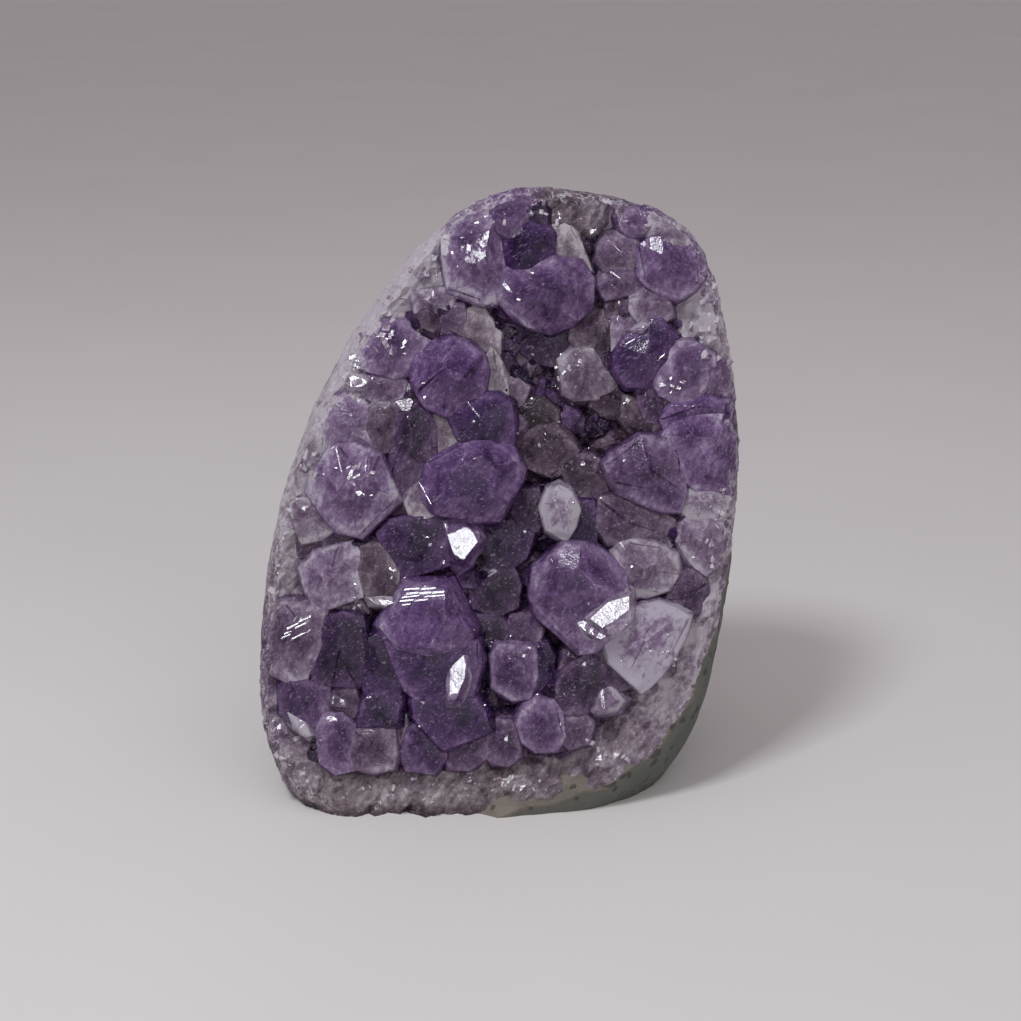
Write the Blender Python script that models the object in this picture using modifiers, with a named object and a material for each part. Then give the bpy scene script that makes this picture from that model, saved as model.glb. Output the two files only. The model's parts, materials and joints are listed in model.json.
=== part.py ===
"""Amethyst cluster with a sawn base: a slice of geode wall that stands with its crystals facing forward.

Metres, +Z up, front towards -Y. The origin is on the sawn base, in the middle of the whole stone's plan.
Everything is laid out in the frame of the crystal face, which leans back a little: u runs to the
right across the face, v runs up it, and height stands out of it, with 0 at the tallest crystal tips.
"""

import math
import random

import bmesh
import bpy
from mathutils import Matrix, Vector, noise

MM = 0.001

# Driving dimensions of the whole stone
FACE_LEAN = math.radians(14)
FACE_FOOT_Y = -24.0 * MM
STONE_MIDDLE = (0.0, 46.0)
BACK_DEPTH = 49.5
BACK_TAPER = 0.27
BACK_SKIN_RELIEF = 1.1 * MM
RIM_RELIEF = 0.25 * MM
ROCK_GAP = 0.3

# The stone's widest outline on the face, in mm, anticlockwise from the right, and how far in from it
# the rounded front edge starts
OUTLINE = [
    (35.4, 51.0, 1.6),
    (34.8, 64.0, 1.6),
    (32.4, 76.5, 2.0),
    (28.0, 88.0, 2.5),
    (15.0, 91.4, 2.5),
    (1.5, 93.6, 3.0),
    (-10.0, 87.0, 4.0),
    (-19.6, 75.0, 4.0),
    (-27.4, 62.0, 4.0),
    (-32.6, 48.5, 3.5),
    (-35.8, 33.0, 3.0),
    (-36.8, 17.0, 3.0),
    (-34.0, 2.0, 4.0),
    (-22.0, -8.0, 6.0),
    (-2.0, -8.5, 8.5),
    (17.0, -5.0, 12.0),
    (29.5, 7.5, 10.5),
    (33.0, 24.0, 6.0),
    (34.8, 38.0, 2.6),
]
FRONT_EDGE_HEIGHT = 2.2
FRONT_BULGE = 2.2
WIDEST_HEIGHT = -9.0

# Rings behind the widest one: share of the outline's size, and share of the stone's depth
BACK_RINGS = [(0.985, 0.46), (0.90, 0.74), (0.66, 0.95)]

# The quartz layer that the crystals grow from: a floor between the tips, a darker gully down the
# middle, and a rise to the ground rim, by the rim's width at points round the outline (u, v, width)
DRUSE_FLOOR = -5.2
DRUSE_RELIEF = 0.8
GULLY_DEPTH = 3.4
RIM_RISE = 5.4
RIM_WANDER = 1.6
RIM_WIDTHS = [
    (-20.0, 0.0, 19.0),
    (0.0, 0.0, 19.0),
    (16.0, 4.0, 17.0),
    (28.0, 18.0, 11.0),
    (33.0, 40.0, 8.0),
    (34.0, 58.0, 6.0),
    (31.0, 73.0, 12.0),
    (29.5, 82.0, 5.0),
    (20.0, 88.0, 5.0),
    (10.0, 90.0, 15.0),
    (-3.0, 90.0, 3.0),
    (-9.0, 86.0, 5.0),
    (-14.0, 79.0, 14.0),
    (-25.0, 64.0, 13.0),
    (-33.0, 42.0, 14.0),
    (-35.0, 24.0, 8.0),
]

# The rock behind the quartz: the height of its front at points over the face (u, v, height)
ROCK_FRONT = [
    (-36.0, 20.0, -22.0),
    (-34.0, 50.0, -19.0),
    (-20.0, 76.0, -15.0),
    (0.0, 93.0, -12.0),
    (26.0, 87.0, -11.0),
    (35.0, 62.0, -12.0),
    (35.0, 46.0, -10.5),
    (33.5, 32.0, -8.0),
    (31.0, 16.0, -5.5),
    (20.0, -1.0, -5.0),
    (4.0, -5.0, -3.4),
    (-9.0, -6.0, -3.6),
    (-20.0, -5.0, -14.0),
    (-12.0, 12.0, -13.0),
    (6.0, 11.0, -10.0),
    (18.0, 15.0, -9.5),
    (25.0, 28.0, -11.0),
    (22.0, 55.0, -14.0),
    (0.0, 46.0, -15.0),
    (10.0, 30.0, -14.0),
    (-14.0, 30.0, -16.0),
]
ROCK_RELIEF = 0.5

# The crystals' bodies: how far down they reach, how far they spread below the shoulder and over what
# drop, the most corners that a body keeps, and the tip height up to which a tip has only three faces
ROOT_DEPTH = -26.0
SKIRT = 0.93
SKIRT_DROP = 3.2
MOST_CORNERS = 7
SMALL_DROP = 1.6

# The crystals, by hand. Each has the height of its shoulder, where the sides meet the tip, the corners
# of its shoulder seen from the front (u, v), and the points of its tip (u, v, height)
CRYSTALS = {
    "crown_left": (
        -1.6,
        [
            (-7.4, 85.5), (-5.5, 88.0), (-3.0, 88.4), (-1.4, 86.6), (-0.4, 84.5), (0.4, 81.5),
            (0.2, 79.0), (-0.7, 75.3), (-3.0, 75.3), (-7.2, 77.0), (-7.7, 81.5),
        ],
        [(-3.8, 80.4, 1.0), (-2.4, 84.5, 0.7)],
    ),
    "crown_ledge": (
        -0.8,
        [
            (-1.9, 88.6), (0.6, 90.8), (5.6, 90.4), (3.6, 88.0), (3.0, 86.2), (1.2, 84.2), (-0.3, 85.0),
            (-1.5, 86.6),
        ],
        [(1.5, 87.4, -0.1)],
    ),
    "crown_dark": (
        -1.4,
        [
            (3.4, 86.3), (1.6, 85.0), (0.7, 82.8), (1.5, 80.5), (3.2, 78.6), (5.4, 79.8), (7.0, 81.8),
            (7.2, 84.2), (6.4, 85.4),
        ],
        [(4.2, 83.2, 0.9)],
    ),
    "crown_shadow": (
        -1.8,
        [
            (3.5, 88.0), (5.8, 89.6), (6.4, 87.5), (6.4, 85.2), (3.3, 86.2),
        ],
        [(4.9, 87.3, -1.2)],
    ),
    "crown_grey": (
        -2.6,
        [
            (7.2, 85.6), (9.6, 86.0), (10.8, 84.2), (12.8, 79.6), (11.0, 80.0), (9.0, 80.6),
            (7.2, 80.4), (7.0, 82.5),
        ],
        [(9.0, 83.0, -1.9)],
    ),
    "crown_big": (
        -1.5,
        [
            (0.3, 75.2), (0.6, 79.3), (3.0, 79.2), (7.5, 80.8), (11.0, 80.4), (12.6, 78.0),
            (12.4, 74.5), (10.0, 72.3), (7.0, 71.4), (4.3, 72.0), (2.5, 72.9),
        ],
        [(7.0, 76.4, 1.6), (5.2, 74.2, 1.0)],
    ),
    "crown_bead": (
        -2.2,
        [
            (14.2, 82.8), (15.3, 84.1), (17.0, 84.5), (18.9, 83.9), (19.9, 82.0), (19.3, 80.4),
            (18.2, 79.7), (15.0, 79.8), (14.1, 81.0),
        ],
        [(17.1, 81.6, -0.9)],
    ),
    "crown_right": (
        -1.6,
        [
            (20.0, 82.5), (21.8, 83.6), (24.0, 83.6), (26.8, 83.2), (28.6, 80.4), (28.4, 78.6),
            (27.2, 77.0), (25.0, 75.8), (23.3, 76.3), (21.3, 77.5), (20.2, 78.8),
        ],
        [(24.2, 80.2, 0.6)],
    ),
    "crown_top": (
        -1.6,
        [
            (17.6, 88.2), (19.8, 88.6), (21.0, 87.4), (21.1, 86.2), (20.2, 84.9), (18.6, 84.4),
            (17.4, 85.5), (17.1, 86.9),
        ],
        [(19.2, 86.4, -0.4)],
    ),
    "crown_pale": (
        -2.2,
        [
            (21.0, 88.2), (24.5, 87.6), (27.0, 85.6), (27.6, 83.2), (25.8, 82.4), (23.6, 83.3),
            (21.8, 83.6), (20.7, 85.0),
        ],
        [(23.8, 85.2, -1.2)],
    ),
    "crown_foot": (
        -2.8,
        [
            (14.8, 79.5), (18.4, 79.2), (20.3, 78.7), (20.8, 77.0), (18.5, 76.6), (15.5, 75.4),
            (14.1, 77.2),
        ],
        [(17.2, 77.8, -1.6)],
    ),
    "crown_low": (
        -3.4,
        [
            (15.3, 74.8), (17.0, 75.5), (18.5, 74.9), (18.6, 73.2), (17.2, 72.1), (15.4, 73.0),
        ],
        [(16.8, 74.2, -2.6)],
    ),
    "crown_step": (
        -2.4,
        [
            (19.0, 75.8), (20.6, 77.0), (23.8, 75.8), (24.3, 73.0), (22.6, 72.2), (20.0, 72.4),
            (18.7, 73.8),
        ],
        [(21.8, 74.9, -1.2)],
    ),
    "crown_under": (
        -4.6,
        [
            (2.6, 72.2), (5.5, 73.2), (9.8, 72.0), (10.8, 69.5), (10.0, 67.5), (8.0, 66.2), (5.0, 66.8),
            (2.6, 68.6),
        ],
        [(6.5, 69.8, -3.0)],
    ),
    "brow_brown": (
        -3.6,
        [
            (10.4, 71.4), (12.0, 73.5), (14.5, 73.5), (15.5, 72.0), (14.4, 69.3), (13.3, 68.4),
            (11.0, 68.6), (10.2, 69.8),
        ],
        [(12.9, 71.2, -2.6)],
    ),
    "gully_wedge": (
        -3.4,
        [
            (13.8, 68.4), (14.7, 70.6), (15.5, 72.2), (16.3, 70.6), (16.0, 67.5), (15.4, 65.4),
        ],
        [(15.3, 69.0, -2.9)],
    ),
    "brow_strip": (
        -3.0,
        [
            (16.0, 72.5), (18.2, 73.0), (19.8, 71.0), (17.6, 68.6), (16.4, 66.2), (16.1, 69.0),
        ],
        [(17.2, 71.0, -2.2)],
    ),
    "brow_right": (
        -1.9,
        [
            (16.9, 67.8), (18.2, 69.6), (20.9, 71.8), (22.6, 72.2), (24.7, 70.0), (24.5, 67.5),
            (22.6, 64.7), (21.0, 63.4), (18.4, 63.3), (16.7, 65.4),
        ],
        [(20.6, 67.6, 0.3)],
    ),
    "brow_edge": (
        -1.8,
        [
            (22.6, 63.6), (23.6, 66.2), (25.4, 68.7), (27.6, 68.8), (30.2, 67.2), (30.4, 65.6),
            (29.4, 63.4), (28.0, 61.4), (25.3, 61.0), (23.3, 62.0),
        ],
        [(26.3, 64.6, -0.2)],
    ),
    "brow_rim": (
        -2.8,
        [
            (28.5, 62.0), (30.6, 66.8), (32.6, 66.6), (33.4, 64.8), (33.6, 62.6), (31.0, 61.4),
        ],
        [(31.2, 64.3, -1.8)],
    ),
    "brow_foot": (
        -3.2,
        [
            (19.8, 62.6), (22.8, 62.8), (24.6, 61.0), (24.4, 59.6), (23.0, 57.8), (21.0, 58.0),
            (20.2, 60.0),
        ],
        [(22.2, 60.8, -2.4)],
    ),
    "shoulder_left": (
        -2.0,
        [
            (-20.2, 67.8), (-18.8, 70.4), (-16.5, 71.8), (-14.0, 71.8), (-11.0, 70.0), (-10.6, 69.0),
            (-11.9, 66.6), (-13.0, 65.2), (-15.2, 64.6), (-17.3, 65.0), (-19.8, 65.8),
        ],
        [(-15.8, 68.4, -0.2)],
    ),
    "shoulder_step": (
        -2.8,
        [
            (-19.6, 65.2), (-15.0, 65.0), (-13.8, 63.4), (-14.4, 61.0), (-16.0, 60.3), (-19.2, 61.2),
            (-20.6, 62.4),
        ],
        [(-17.4, 63.3, -1.6)],
    ),
    "shoulder_dusk": (
        -3.2,
        [
            (-14.2, 63.3), (-12.2, 63.0), (-11.4, 61.6), (-11.8, 60.2), (-14.2, 60.0), (-14.9, 60.8),
        ],
        [(-13.0, 61.8, -2.4)],
    ),
    "shoulder_violet": (
        -1.4,
        [
            (-12.3, 64.5), (-12.1, 66.2), (-11.0, 67.6), (-9.5, 68.8), (-7.0, 69.3), (-4.8, 68.6),
            (-3.0, 67.0), (-2.4, 65.0), (-2.9, 62.5), (-4.2, 60.9), (-7.0, 59.2), (-8.2, 59.3),
            (-10.5, 60.4), (-11.5, 62.0),
        ],
        [(-7.6, 65.4, 1.2), (-5.8, 63.2, 0.8)],
    ),
    "shoulder_grey": (
        -3.6,
        [
            (-8.8, 69.4), (-5.2, 73.4), (-3.0, 74.4), (-1.6, 72.4), (-0.4, 70.5), (-0.4, 66.6),
            (-2.4, 64.8), (-5.0, 66.0),
        ],
        [(-3.2, 70.3, -2.6)],
    ),
    "shoulder_pane": (
        -3.0,
        [
            (-10.0, 72.8), (-7.3, 74.4), (-5.5, 74.6), (-5.3, 72.4), (-7.0, 70.8), (-9.4, 70.4),
        ],
        [(-7.6, 72.9, -2.2)],
    ),
    "shoulder_rise": (
        -2.6,
        [
            (-12.6, 76.4), (-9.8, 75.2), (-8.0, 76.8), (-6.8, 76.2), (-7.2, 74.3), (-10.3, 72.6),
            (-12.0, 73.0),
        ],
        [(-9.6, 74.6, -1.8)],
    ),
    "shoulder_strip": (
        -3.0,
        [
            (-2.5, 65.0), (-1.4, 68.2), (-0.2, 66.8), (0.4, 64.5), (0.9, 61.6), (-0.9, 61.2),
            (-3.6, 61.2),
        ],
        [(-1.2, 64.6, -2.2)],
    ),
    "gully_pebble": (
        -4.2,
        [
            (0.2, 62.0), (1.0, 64.0), (2.6, 64.4), (3.6, 62.6), (3.0, 60.6), (1.3, 60.0),
        ],
        [(1.6, 63.2, -3.0)],
    ),
    "left_high": (
        -2.4,
        [
            (-25.2, 58.6), (-23.8, 60.8), (-22.0, 61.6), (-19.8, 60.6), (-18.9, 59.2), (-19.3, 55.4),
            (-18.8, 54.0), (-21.0, 53.6), (-24.0, 53.8), (-25.6, 56.0),
        ],
        [(-22.0, 57.6, -0.9)],
    ),
    "left_dark": (
        -2.4,
        [
            (-19.4, 58.5), (-18.4, 60.2), (-16.7, 60.3), (-14.8, 60.2), (-14.8, 57.5), (-15.3, 56.0),
            (-15.8, 54.1), (-17.5, 53.5), (-19.2, 55.2),
        ],
        [(-17.0, 57.4, -1.3)],
    ),
    "left_long": (
        -2.2,
        [
            (-14.9, 60.2), (-12.0, 60.9), (-10.8, 60.4), (-10.2, 57.0), (-8.9, 54.0), (-10.2, 52.3),
            (-12.0, 48.8), (-13.8, 47.4), (-15.9, 50.0), (-15.5, 53.0), (-15.3, 56.0),
        ],
        [(-12.9, 57.0, -0.5), (-13.2, 52.4, -0.9)],
    ),
    "grey_wedge": (
        -2.8,
        [
            (-10.6, 59.8), (-7.5, 59.4), (-5.8, 56.6), (-5.0, 54.9), (-5.3, 52.6), (-9.9, 52.0),
            (-10.2, 54.0),
        ],
        [(-8.0, 56.4, -2.0)],
    ),
    "middle_hexagon": (
        -1.8,
        [
            (-7.4, 59.2), (-4.6, 60.8), (-3.0, 61.4), (-0.5, 61.5), (1.2, 60.2), (1.5, 57.5),
            (1.3, 55.0), (0.0, 54.0), (-5.0, 54.6), (-6.0, 56.0),
        ],
        [(-3.0, 58.0, 0.0)],
    ),
    "middle_big": (
        -1.2,
        [
            (-10.2, 51.8), (-5.5, 52.8), (-4.8, 54.4), (0.0, 54.7), (1.4, 53.4), (2.7, 50.8),
            (2.4, 49.4), (0.1, 45.2), (-0.6, 44.3), (-3.9, 44.0), (-9.3, 45.0), (-11.2, 47.4),
        ],
        [(-6.4, 51.2, 0.9), (-4.7, 45.6, 1.0), (-0.6, 50.0, 0.9)],
    ),
    "middle_side": (
        -2.4,
        [
            (-14.3, 47.6), (-12.4, 49.6), (-11.2, 50.2), (-8.8, 45.0), (-11.9, 43.4), (-13.0, 44.4),
        ],
        [(-11.5, 47.8, -1.6)],
    ),
    "gully_low": (
        -4.8,
        [
            (1.8, 55.2), (1.7, 58.0), (3.3, 60.8), (6.0, 61.0), (8.0, 59.3), (8.2, 57.4), (5.3, 56.4),
        ],
        [(4.6, 58.8, -3.8)],
    ),
    "gully_slab": (
        -4.0,
        [
            (1.5, 52.3), (2.0, 54.5), (5.5, 56.9), (7.8, 57.1), (9.5, 55.4), (11.0, 53.6), (9.3, 50.9),
            (7.2, 50.1), (5.0, 51.8),
        ],
        [(6.6, 54.6, -2.9)],
    ),
    "gully_frost": (
        -3.8,
        [
            (8.6, 66.6), (10.8, 68.6), (13.5, 68.2), (15.5, 65.5), (16.3, 63.0), (14.0, 61.4),
            (11.0, 61.2), (9.3, 62.0),
        ],
        [(12.0, 65.4, -2.6)],
    ),
    "gully_east": (
        -4.4,
        [
            (13.4, 62.6), (16.9, 62.4), (18.4, 60.6), (18.0, 58.4), (15.6, 58.6), (13.2, 60.0),
        ],
        [(15.8, 60.9, -3.6)],
    ),
    "right_link": (
        -3.8,
        [
            (17.8, 61.4), (19.6, 60.8), (20.6, 58.4), (23.0, 57.8), (23.6, 56.4), (22.6, 55.0),
            (20.2, 55.3), (18.9, 56.6), (17.6, 58.0),
        ],
        [(20.0, 58.0, -3.0)],
    ),
    "right_big": (
        -1.6,
        [
            (15.4, 51.5), (16.4, 53.0), (20.0, 55.2), (22.6, 55.2), (25.6, 52.9), (25.7, 51.4),
            (26.2, 48.0), (25.4, 45.2), (22.4, 45.6), (20.4, 46.8), (17.2, 47.8), (16.4, 49.2),
        ],
        [(20.8, 50.8, 0.6)],
    ),
    "right_rim_top": (
        -2.2,
        [
            (23.2, 58.2), (25.0, 60.4), (28.0, 61.4), (32.0, 60.8), (33.4, 59.4), (33.0, 58.0),
            (30.0, 58.6), (26.0, 57.2), (24.0, 56.0),
        ],
        [(28.0, 59.8, -1.2)],
    ),
    "right_rim_big": (
        -1.6,
        [
            (23.6, 55.6), (24.6, 57.0), (27.0, 58.0), (30.0, 58.8), (33.4, 57.8), (34.4, 54.0),
            (34.2, 50.0), (32.6, 48.0), (28.2, 48.4), (26.2, 50.4), (25.8, 52.6),
        ],
        [(28.8, 55.6, 0.2), (29.8, 51.8, 0.2)],
    ),
    "gully_grey": (
        -4.0,
        [
            (9.0, 51.4), (10.4, 52.8), (13.2, 52.6), (15.2, 51.4), (16.2, 49.4), (15.6, 47.4),
            (12.4, 46.6), (10.0, 48.2),
        ],
        [(12.4, 50.2, -3.0)],
    ),
    "middle_frost": (
        -2.6,
        [
            (6.1, 45.3), (6.9, 47.4), (8.5, 48.2), (10.1, 47.3), (11.1, 45.0), (10.6, 43.0),
            (9.4, 40.9), (8.4, 41.5), (6.9, 42.5),
        ],
        [(8.4, 45.2, -1.6)],
    ),
    "middle_violet": (
        -3.2,
        [
            (10.4, 46.4), (13.4, 46.2), (14.0, 43.0), (13.6, 40.0), (11.4, 39.4), (9.6, 40.6),
        ],
        [(12.0, 43.2, -2.6)],
    ),
    "middle_wine": (
        -2.8,
        [
            (14.6, 46.6), (17.5, 47.3), (20.2, 46.4), (22.6, 44.4), (22.0, 42.2), (19.6, 40.6),
            (15.8, 40.2), (14.2, 42.6),
        ],
        [(18.3, 43.8, -1.6)],
    ),
    "right_pit": (
        -3.4,
        [
            (21.0, 43.4), (23.4, 44.4), (25.0, 43.4), (25.0, 40.6), (23.4, 38.4), (20.8, 40.4),
        ],
        [(23.2, 42.0, -2.6)],
    ),
    "right_rim_frost": (
        -2.4,
        [
            (26.4, 47.6), (28.4, 48.8), (31.6, 48.6), (33.0, 46.4), (31.6, 43.4), (28.4, 43.4),
            (26.4, 45.0),
        ],
        [(29.2, 46.4, -1.2)],
    ),
    "right_rim_low": (
        -2.4,
        [
            (26.0, 42.8), (28.2, 44.6), (31.4, 43.8), (32.4, 41.0), (31.8, 38.0), (29.6, 36.0),
            (27.2, 38.4), (25.8, 40.6),
        ],
        [(28.8, 40.8, -1.3)],
    ),
    "right_rim_wine": (
        -3.0,
        [
            (24.8, 35.0), (27.2, 36.2), (29.4, 35.4), (29.6, 33.0), (28.6, 30.4), (26.4, 30.0),
            (24.4, 32.2),
        ],
        [(27.0, 33.4, -2.0)],
    ),
    "right_frost": (
        -2.2,
        [
            (16.5, 38.6), (17.6, 40.2), (20.0, 40.4), (22.6, 39.8), (25.0, 38.4), (25.4, 36.0),
            (24.0, 33.8), (21.0, 32.9), (18.9, 33.2), (18.4, 35.0), (17.2, 36.9),
        ],
        [(20.6, 36.9, -0.9)],
    ),
    "right_low_big": (
        -1.2,
        [
            (4.9, 32.6), (5.4, 36.3), (7.2, 37.8), (9.4, 39.6), (13.0, 39.5), (15.4, 37.8),
            (17.3, 36.0), (18.0, 33.4), (17.2, 28.2), (13.6, 25.2), (11.2, 24.9), (7.6, 29.2),
            (5.6, 30.4),
        ],
        [(9.2, 36.6, 0.9), (13.6, 33.9, 1.2), (8.6, 32.6, 0.8)],
    ),
    "right_pale": (
        -1.0,
        [
            (15.5, 25.8), (17.2, 28.0), (19.4, 30.4), (22.5, 31.2), (25.0, 30.6), (27.0, 29.4),
            (26.0, 26.5), (24.0, 23.0), (21.8, 20.3), (20.4, 19.2), (18.7, 21.2), (16.2, 23.2),
        ],
        [(20.8, 26.6, 0.6)],
    ),
    "left_rim_pale": (
        -2.4,
        [
            (-32.0, 52.0), (-30.2, 55.8), (-27.4, 57.0), (-25.6, 55.4), (-25.2, 53.2), (-27.0, 49.4),
            (-28.6, 47.2), (-31.6, 47.6),
        ],
        [(-28.4, 52.4, -1.0)],
    ),
    "left_rim_rose": (
        -2.2,
        [
            (-30.4, 46.4), (-27.0, 46.6), (-24.6, 43.6), (-23.6, 42.8), (-26.0, 41.3), (-28.6, 40.6),
            (-29.4, 43.0),
        ],
        [(-27.4, 44.0, -1.2)],
    ),
    "left_big": (
        -0.9,
        [
            (-27.3, 48.0), (-26.6, 50.2), (-24.6, 53.1), (-23.2, 54.0), (-21.0, 54.1), (-17.8, 52.8),
            (-17.0, 50.1), (-15.0, 46.8), (-20.2, 41.8), (-23.8, 42.8), (-25.5, 45.2),
        ],
        [(-23.2, 48.0, 1.3), (-21.5, 50.0, 1.3), (-19.6, 48.4, 1.3)],
    ),
    "left_shade": (
        -3.2,
        [
            (-28.8, 40.5), (-26.0, 41.2), (-23.4, 42.6), (-20.6, 41.6), (-20.6, 39.8), (-22.4, 38.9),
            (-26.4, 38.4), (-29.6, 38.2),
        ],
        [(-24.4, 40.4, -2.6)],
    ),
    "left_lilac": (
        -1.9,
        [
            (-28.6, 36.4), (-26.6, 38.6), (-21.6, 40.2), (-20.6, 38.8), (-20.8, 35.0), (-20.3, 32.8),
            (-22.4, 32.4), (-24.6, 31.2), (-26.6, 31.2), (-27.8, 33.4),
        ],
        [(-24.0, 35.6, -0.6)],
    ),
    "left_frame": (
        -1.9,
        [
            (-20.8, 38.3), (-20.0, 39.6), (-17.6, 40.0), (-16.4, 38.4), (-15.0, 36.0), (-15.0, 33.4),
            (-15.8, 31.6), (-18.6, 31.8), (-19.6, 33.4), (-20.4, 36.0),
        ],
        [(-18.0, 35.8, -1.1)],
    ),
    "middle_wide": (
        -2.4,
        [
            (-17.6, 41.6), (-15.6, 43.6), (-12.4, 43.0), (-9.8, 44.4), (-7.9, 43.2), (-7.4, 40.0),
            (-6.2, 37.6), (-9.8, 37.4), (-12.0, 37.0), (-14.0, 35.4), (-16.0, 37.6),
        ],
        [(-12.2, 40.4, -1.2)],
    ),
    "middle_dusk": (
        -3.4,
        [
            (-15.2, 46.8), (-13.8, 46.2), (-12.6, 45.0), (-11.9, 43.4), (-14.0, 43.0), (-16.0, 43.4),
        ],
        [(-13.8, 44.8, -2.9)],
    ),
    "middle_deep": (
        -3.8,
        [
            (-3.0, 42.3), (0.0, 43.0), (3.0, 43.2), (4.6, 41.4), (3.4, 38.0), (1.2, 36.4), (-3.0, 36.8),
            (-4.4, 38.0),
        ],
        [(0.2, 40.2, -3.0)],
    ),
    "middle_notch": (
        -3.8,
        [
            (2.6, 47.8), (5.4, 48.0), (6.2, 45.0), (5.4, 42.0), (3.0, 42.0), (1.8, 44.6),
        ],
        [(4.0, 45.4, -3.2)],
    ),
    "gully_rough": (
        -3.8,
        [
            (-4.4, 34.2), (-2.6, 36.6), (1.6, 36.6), (2.6, 34.0), (2.2, 31.0), (-0.6, 29.8),
            (-4.2, 31.0),
        ],
        [(-1.0, 33.2, -2.9)],
    ),
    "gully_stone": (
        -4.0,
        [
            (1.6, 29.4), (4.4, 29.8), (5.8, 27.6), (5.2, 25.0), (2.4, 24.8), (0.6, 27.0),
        ],
        [(3.4, 27.6, -3.2)],
    ),
    "gully_mid": (
        -3.8,
        [
            (-4.0, 29.6), (-0.4, 29.6), (1.4, 27.6), (0.4, 25.4), (-3.0, 25.2), (-4.6, 27.0),
        ],
        [(-1.6, 27.6, -3.2)],
    ),
    "gully_violet": (
        -3.6,
        [
            (4.4, 24.9), (6.6, 25.4), (7.6, 23.4), (7.4, 20.0), (5.2, 18.4), (3.8, 20.0), (3.8, 23.0),
        ],
        [(5.8, 22.0, -2.8)],
    ),
    "gully_smooth": (
        -2.6,
        [
            (-1.2, 23.4), (-0.4, 25.2), (2.6, 25.1), (4.9, 24.9), (5.0, 20.6), (4.2, 17.8), (1.6, 17.6),
            (-1.0, 19.3),
        ],
        [(0.8, 21.8, -1.8), (3.4, 21.8, -1.8)],
    ),
    "gully_foot": (
        -3.2,
        [
            (8.6, 21.6), (9.4, 24.4), (12.0, 25.0), (13.2, 24.0), (11.4, 22.0), (10.0, 20.8),
        ],
        [(10.8, 23.0, -2.6)],
    ),
    "low_wine": (
        -2.2,
        [
            (8.2, 18.6), (8.8, 21.0), (12.4, 24.0), (14.8, 22.6), (16.6, 20.4), (14.8, 19.4),
            (13.6, 16.4), (11.4, 15.6), (8.6, 15.8),
        ],
        [(12.0, 19.6, -1.0)],
    ),
    "low_brick": (
        -2.4,
        [
            (13.4, 24.2), (15.4, 24.4), (18.6, 21.2), (19.0, 19.6), (16.8, 18.8), (15.4, 19.6),
            (14.2, 22.0),
        ],
        [(16.2, 21.6, -1.6)],
    ),
    "low_lilac": (
        -1.9,
        [
            (2.6, 14.0), (3.6, 16.2), (5.2, 17.3), (7.6, 17.0), (8.6, 15.4), (9.0, 12.4), (8.0, 10.4),
            (5.2, 10.2), (3.4, 11.6),
        ],
        [(6.0, 14.0, -0.8)],
    ),
    "low_bead": (
        -2.6,
        [
            (-1.8, 12.4), (-0.6, 14.2), (1.4, 14.0), (2.4, 12.4), (2.6, 9.4), (1.0, 8.0), (-1.2, 8.2),
            (-2.2, 10.0),
        ],
        [(0.4, 11.6, -1.6)],
    ),
    "hero_foot": (
        -0.6,
        [
            (-17.0, 27.4), (-15.3, 25.6), (-10.0, 24.8), (-3.6, 26.0), (-3.2, 23.0), (-4.4, 18.6),
            (-7.0, 17.0), (-9.0, 15.6), (-13.5, 19.4), (-13.8, 21.5),
        ],
        [(-9.8, 22.4, 0.8)],
    ),
    "left_ribbed": (
        -1.6,
        [
            (-33.2, 31.0), (-31.0, 31.4), (-28.0, 31.5), (-25.4, 30.4), (-25.6, 27.0), (-26.8, 23.4),
            (-27.6, 21.2), (-31.0, 20.6), (-33.4, 22.0), (-34.0, 27.0),
        ],
        [(-29.6, 28.4, -0.4)],
    ),
    "left_dark_big": (
        -1.4,
        [
            (-26.8, 22.6), (-25.9, 26.4), (-25.0, 29.4), (-22.8, 30.0), (-20.0, 29.4), (-19.8, 26.4),
            (-19.9, 22.0), (-20.6, 19.8), (-24.4, 20.0), (-27.4, 20.8),
        ],
        [(-23.4, 25.4, -0.3)],
    ),
    "left_darkest": (
        -1.8,
        [
            (-19.8, 25.8), (-17.6, 27.0), (-15.9, 25.2), (-13.9, 21.8), (-14.2, 19.4), (-14.8, 18.7),
            (-19.6, 18.8), (-20.1, 21.0),
        ],
        [(-17.4, 23.2, -0.9)],
    ),
    "left_crumb": (
        -2.8,
        [
            (-24.6, 31.2), (-22.4, 32.6), (-20.4, 31.8), (-19.4, 30.2), (-21.0, 29.0), (-24.2, 29.6),
        ],
        [(-22.2, 30.8, -2.2)],
    ),
    "low_left_bead": (
        -2.2,
        [
            (-24.8, 16.0), (-24.2, 18.6), (-23.0, 19.6), (-21.4, 19.6), (-20.9, 17.4), (-21.4, 15.2),
            (-23.4, 15.0),
        ],
        [(-22.8, 18.2, -1.4)],
    ),
    "low_keel": (
        -0.6,
        [
            (-12.6, 17.6), (-9.2, 18.4), (-6.8, 17.4), (-4.0, 17.8), (-2.4, 16.0), (-1.8, 13.2),
            (-5.0, 12.0), (-8.0, 10.7), (-8.6, 11.0), (-10.4, 13.0), (-12.4, 15.2),
        ],
        [(-6.8, 15.2, 0.0)],
    ),
    "foot_violet": (
        -2.2,
        [
            (-14.4, 9.6), (-13.4, 13.0), (-11.2, 14.4), (-9.8, 13.2), (-8.4, 11.2), (-8.2, 9.0),
            (-9.8, 6.9), (-13.4, 7.4),
        ],
        [(-11.3, 10.6, -1.2)],
    ),
    "foot_small": (
        -2.6,
        [
            (-8.2, 10.9), (-5.2, 12.2), (-2.0, 12.8), (-2.2, 9.0), (-4.6, 7.4), (-7.6, 7.4),
        ],
        [(-4.9, 10.2, -1.7)],
    ),
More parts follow.
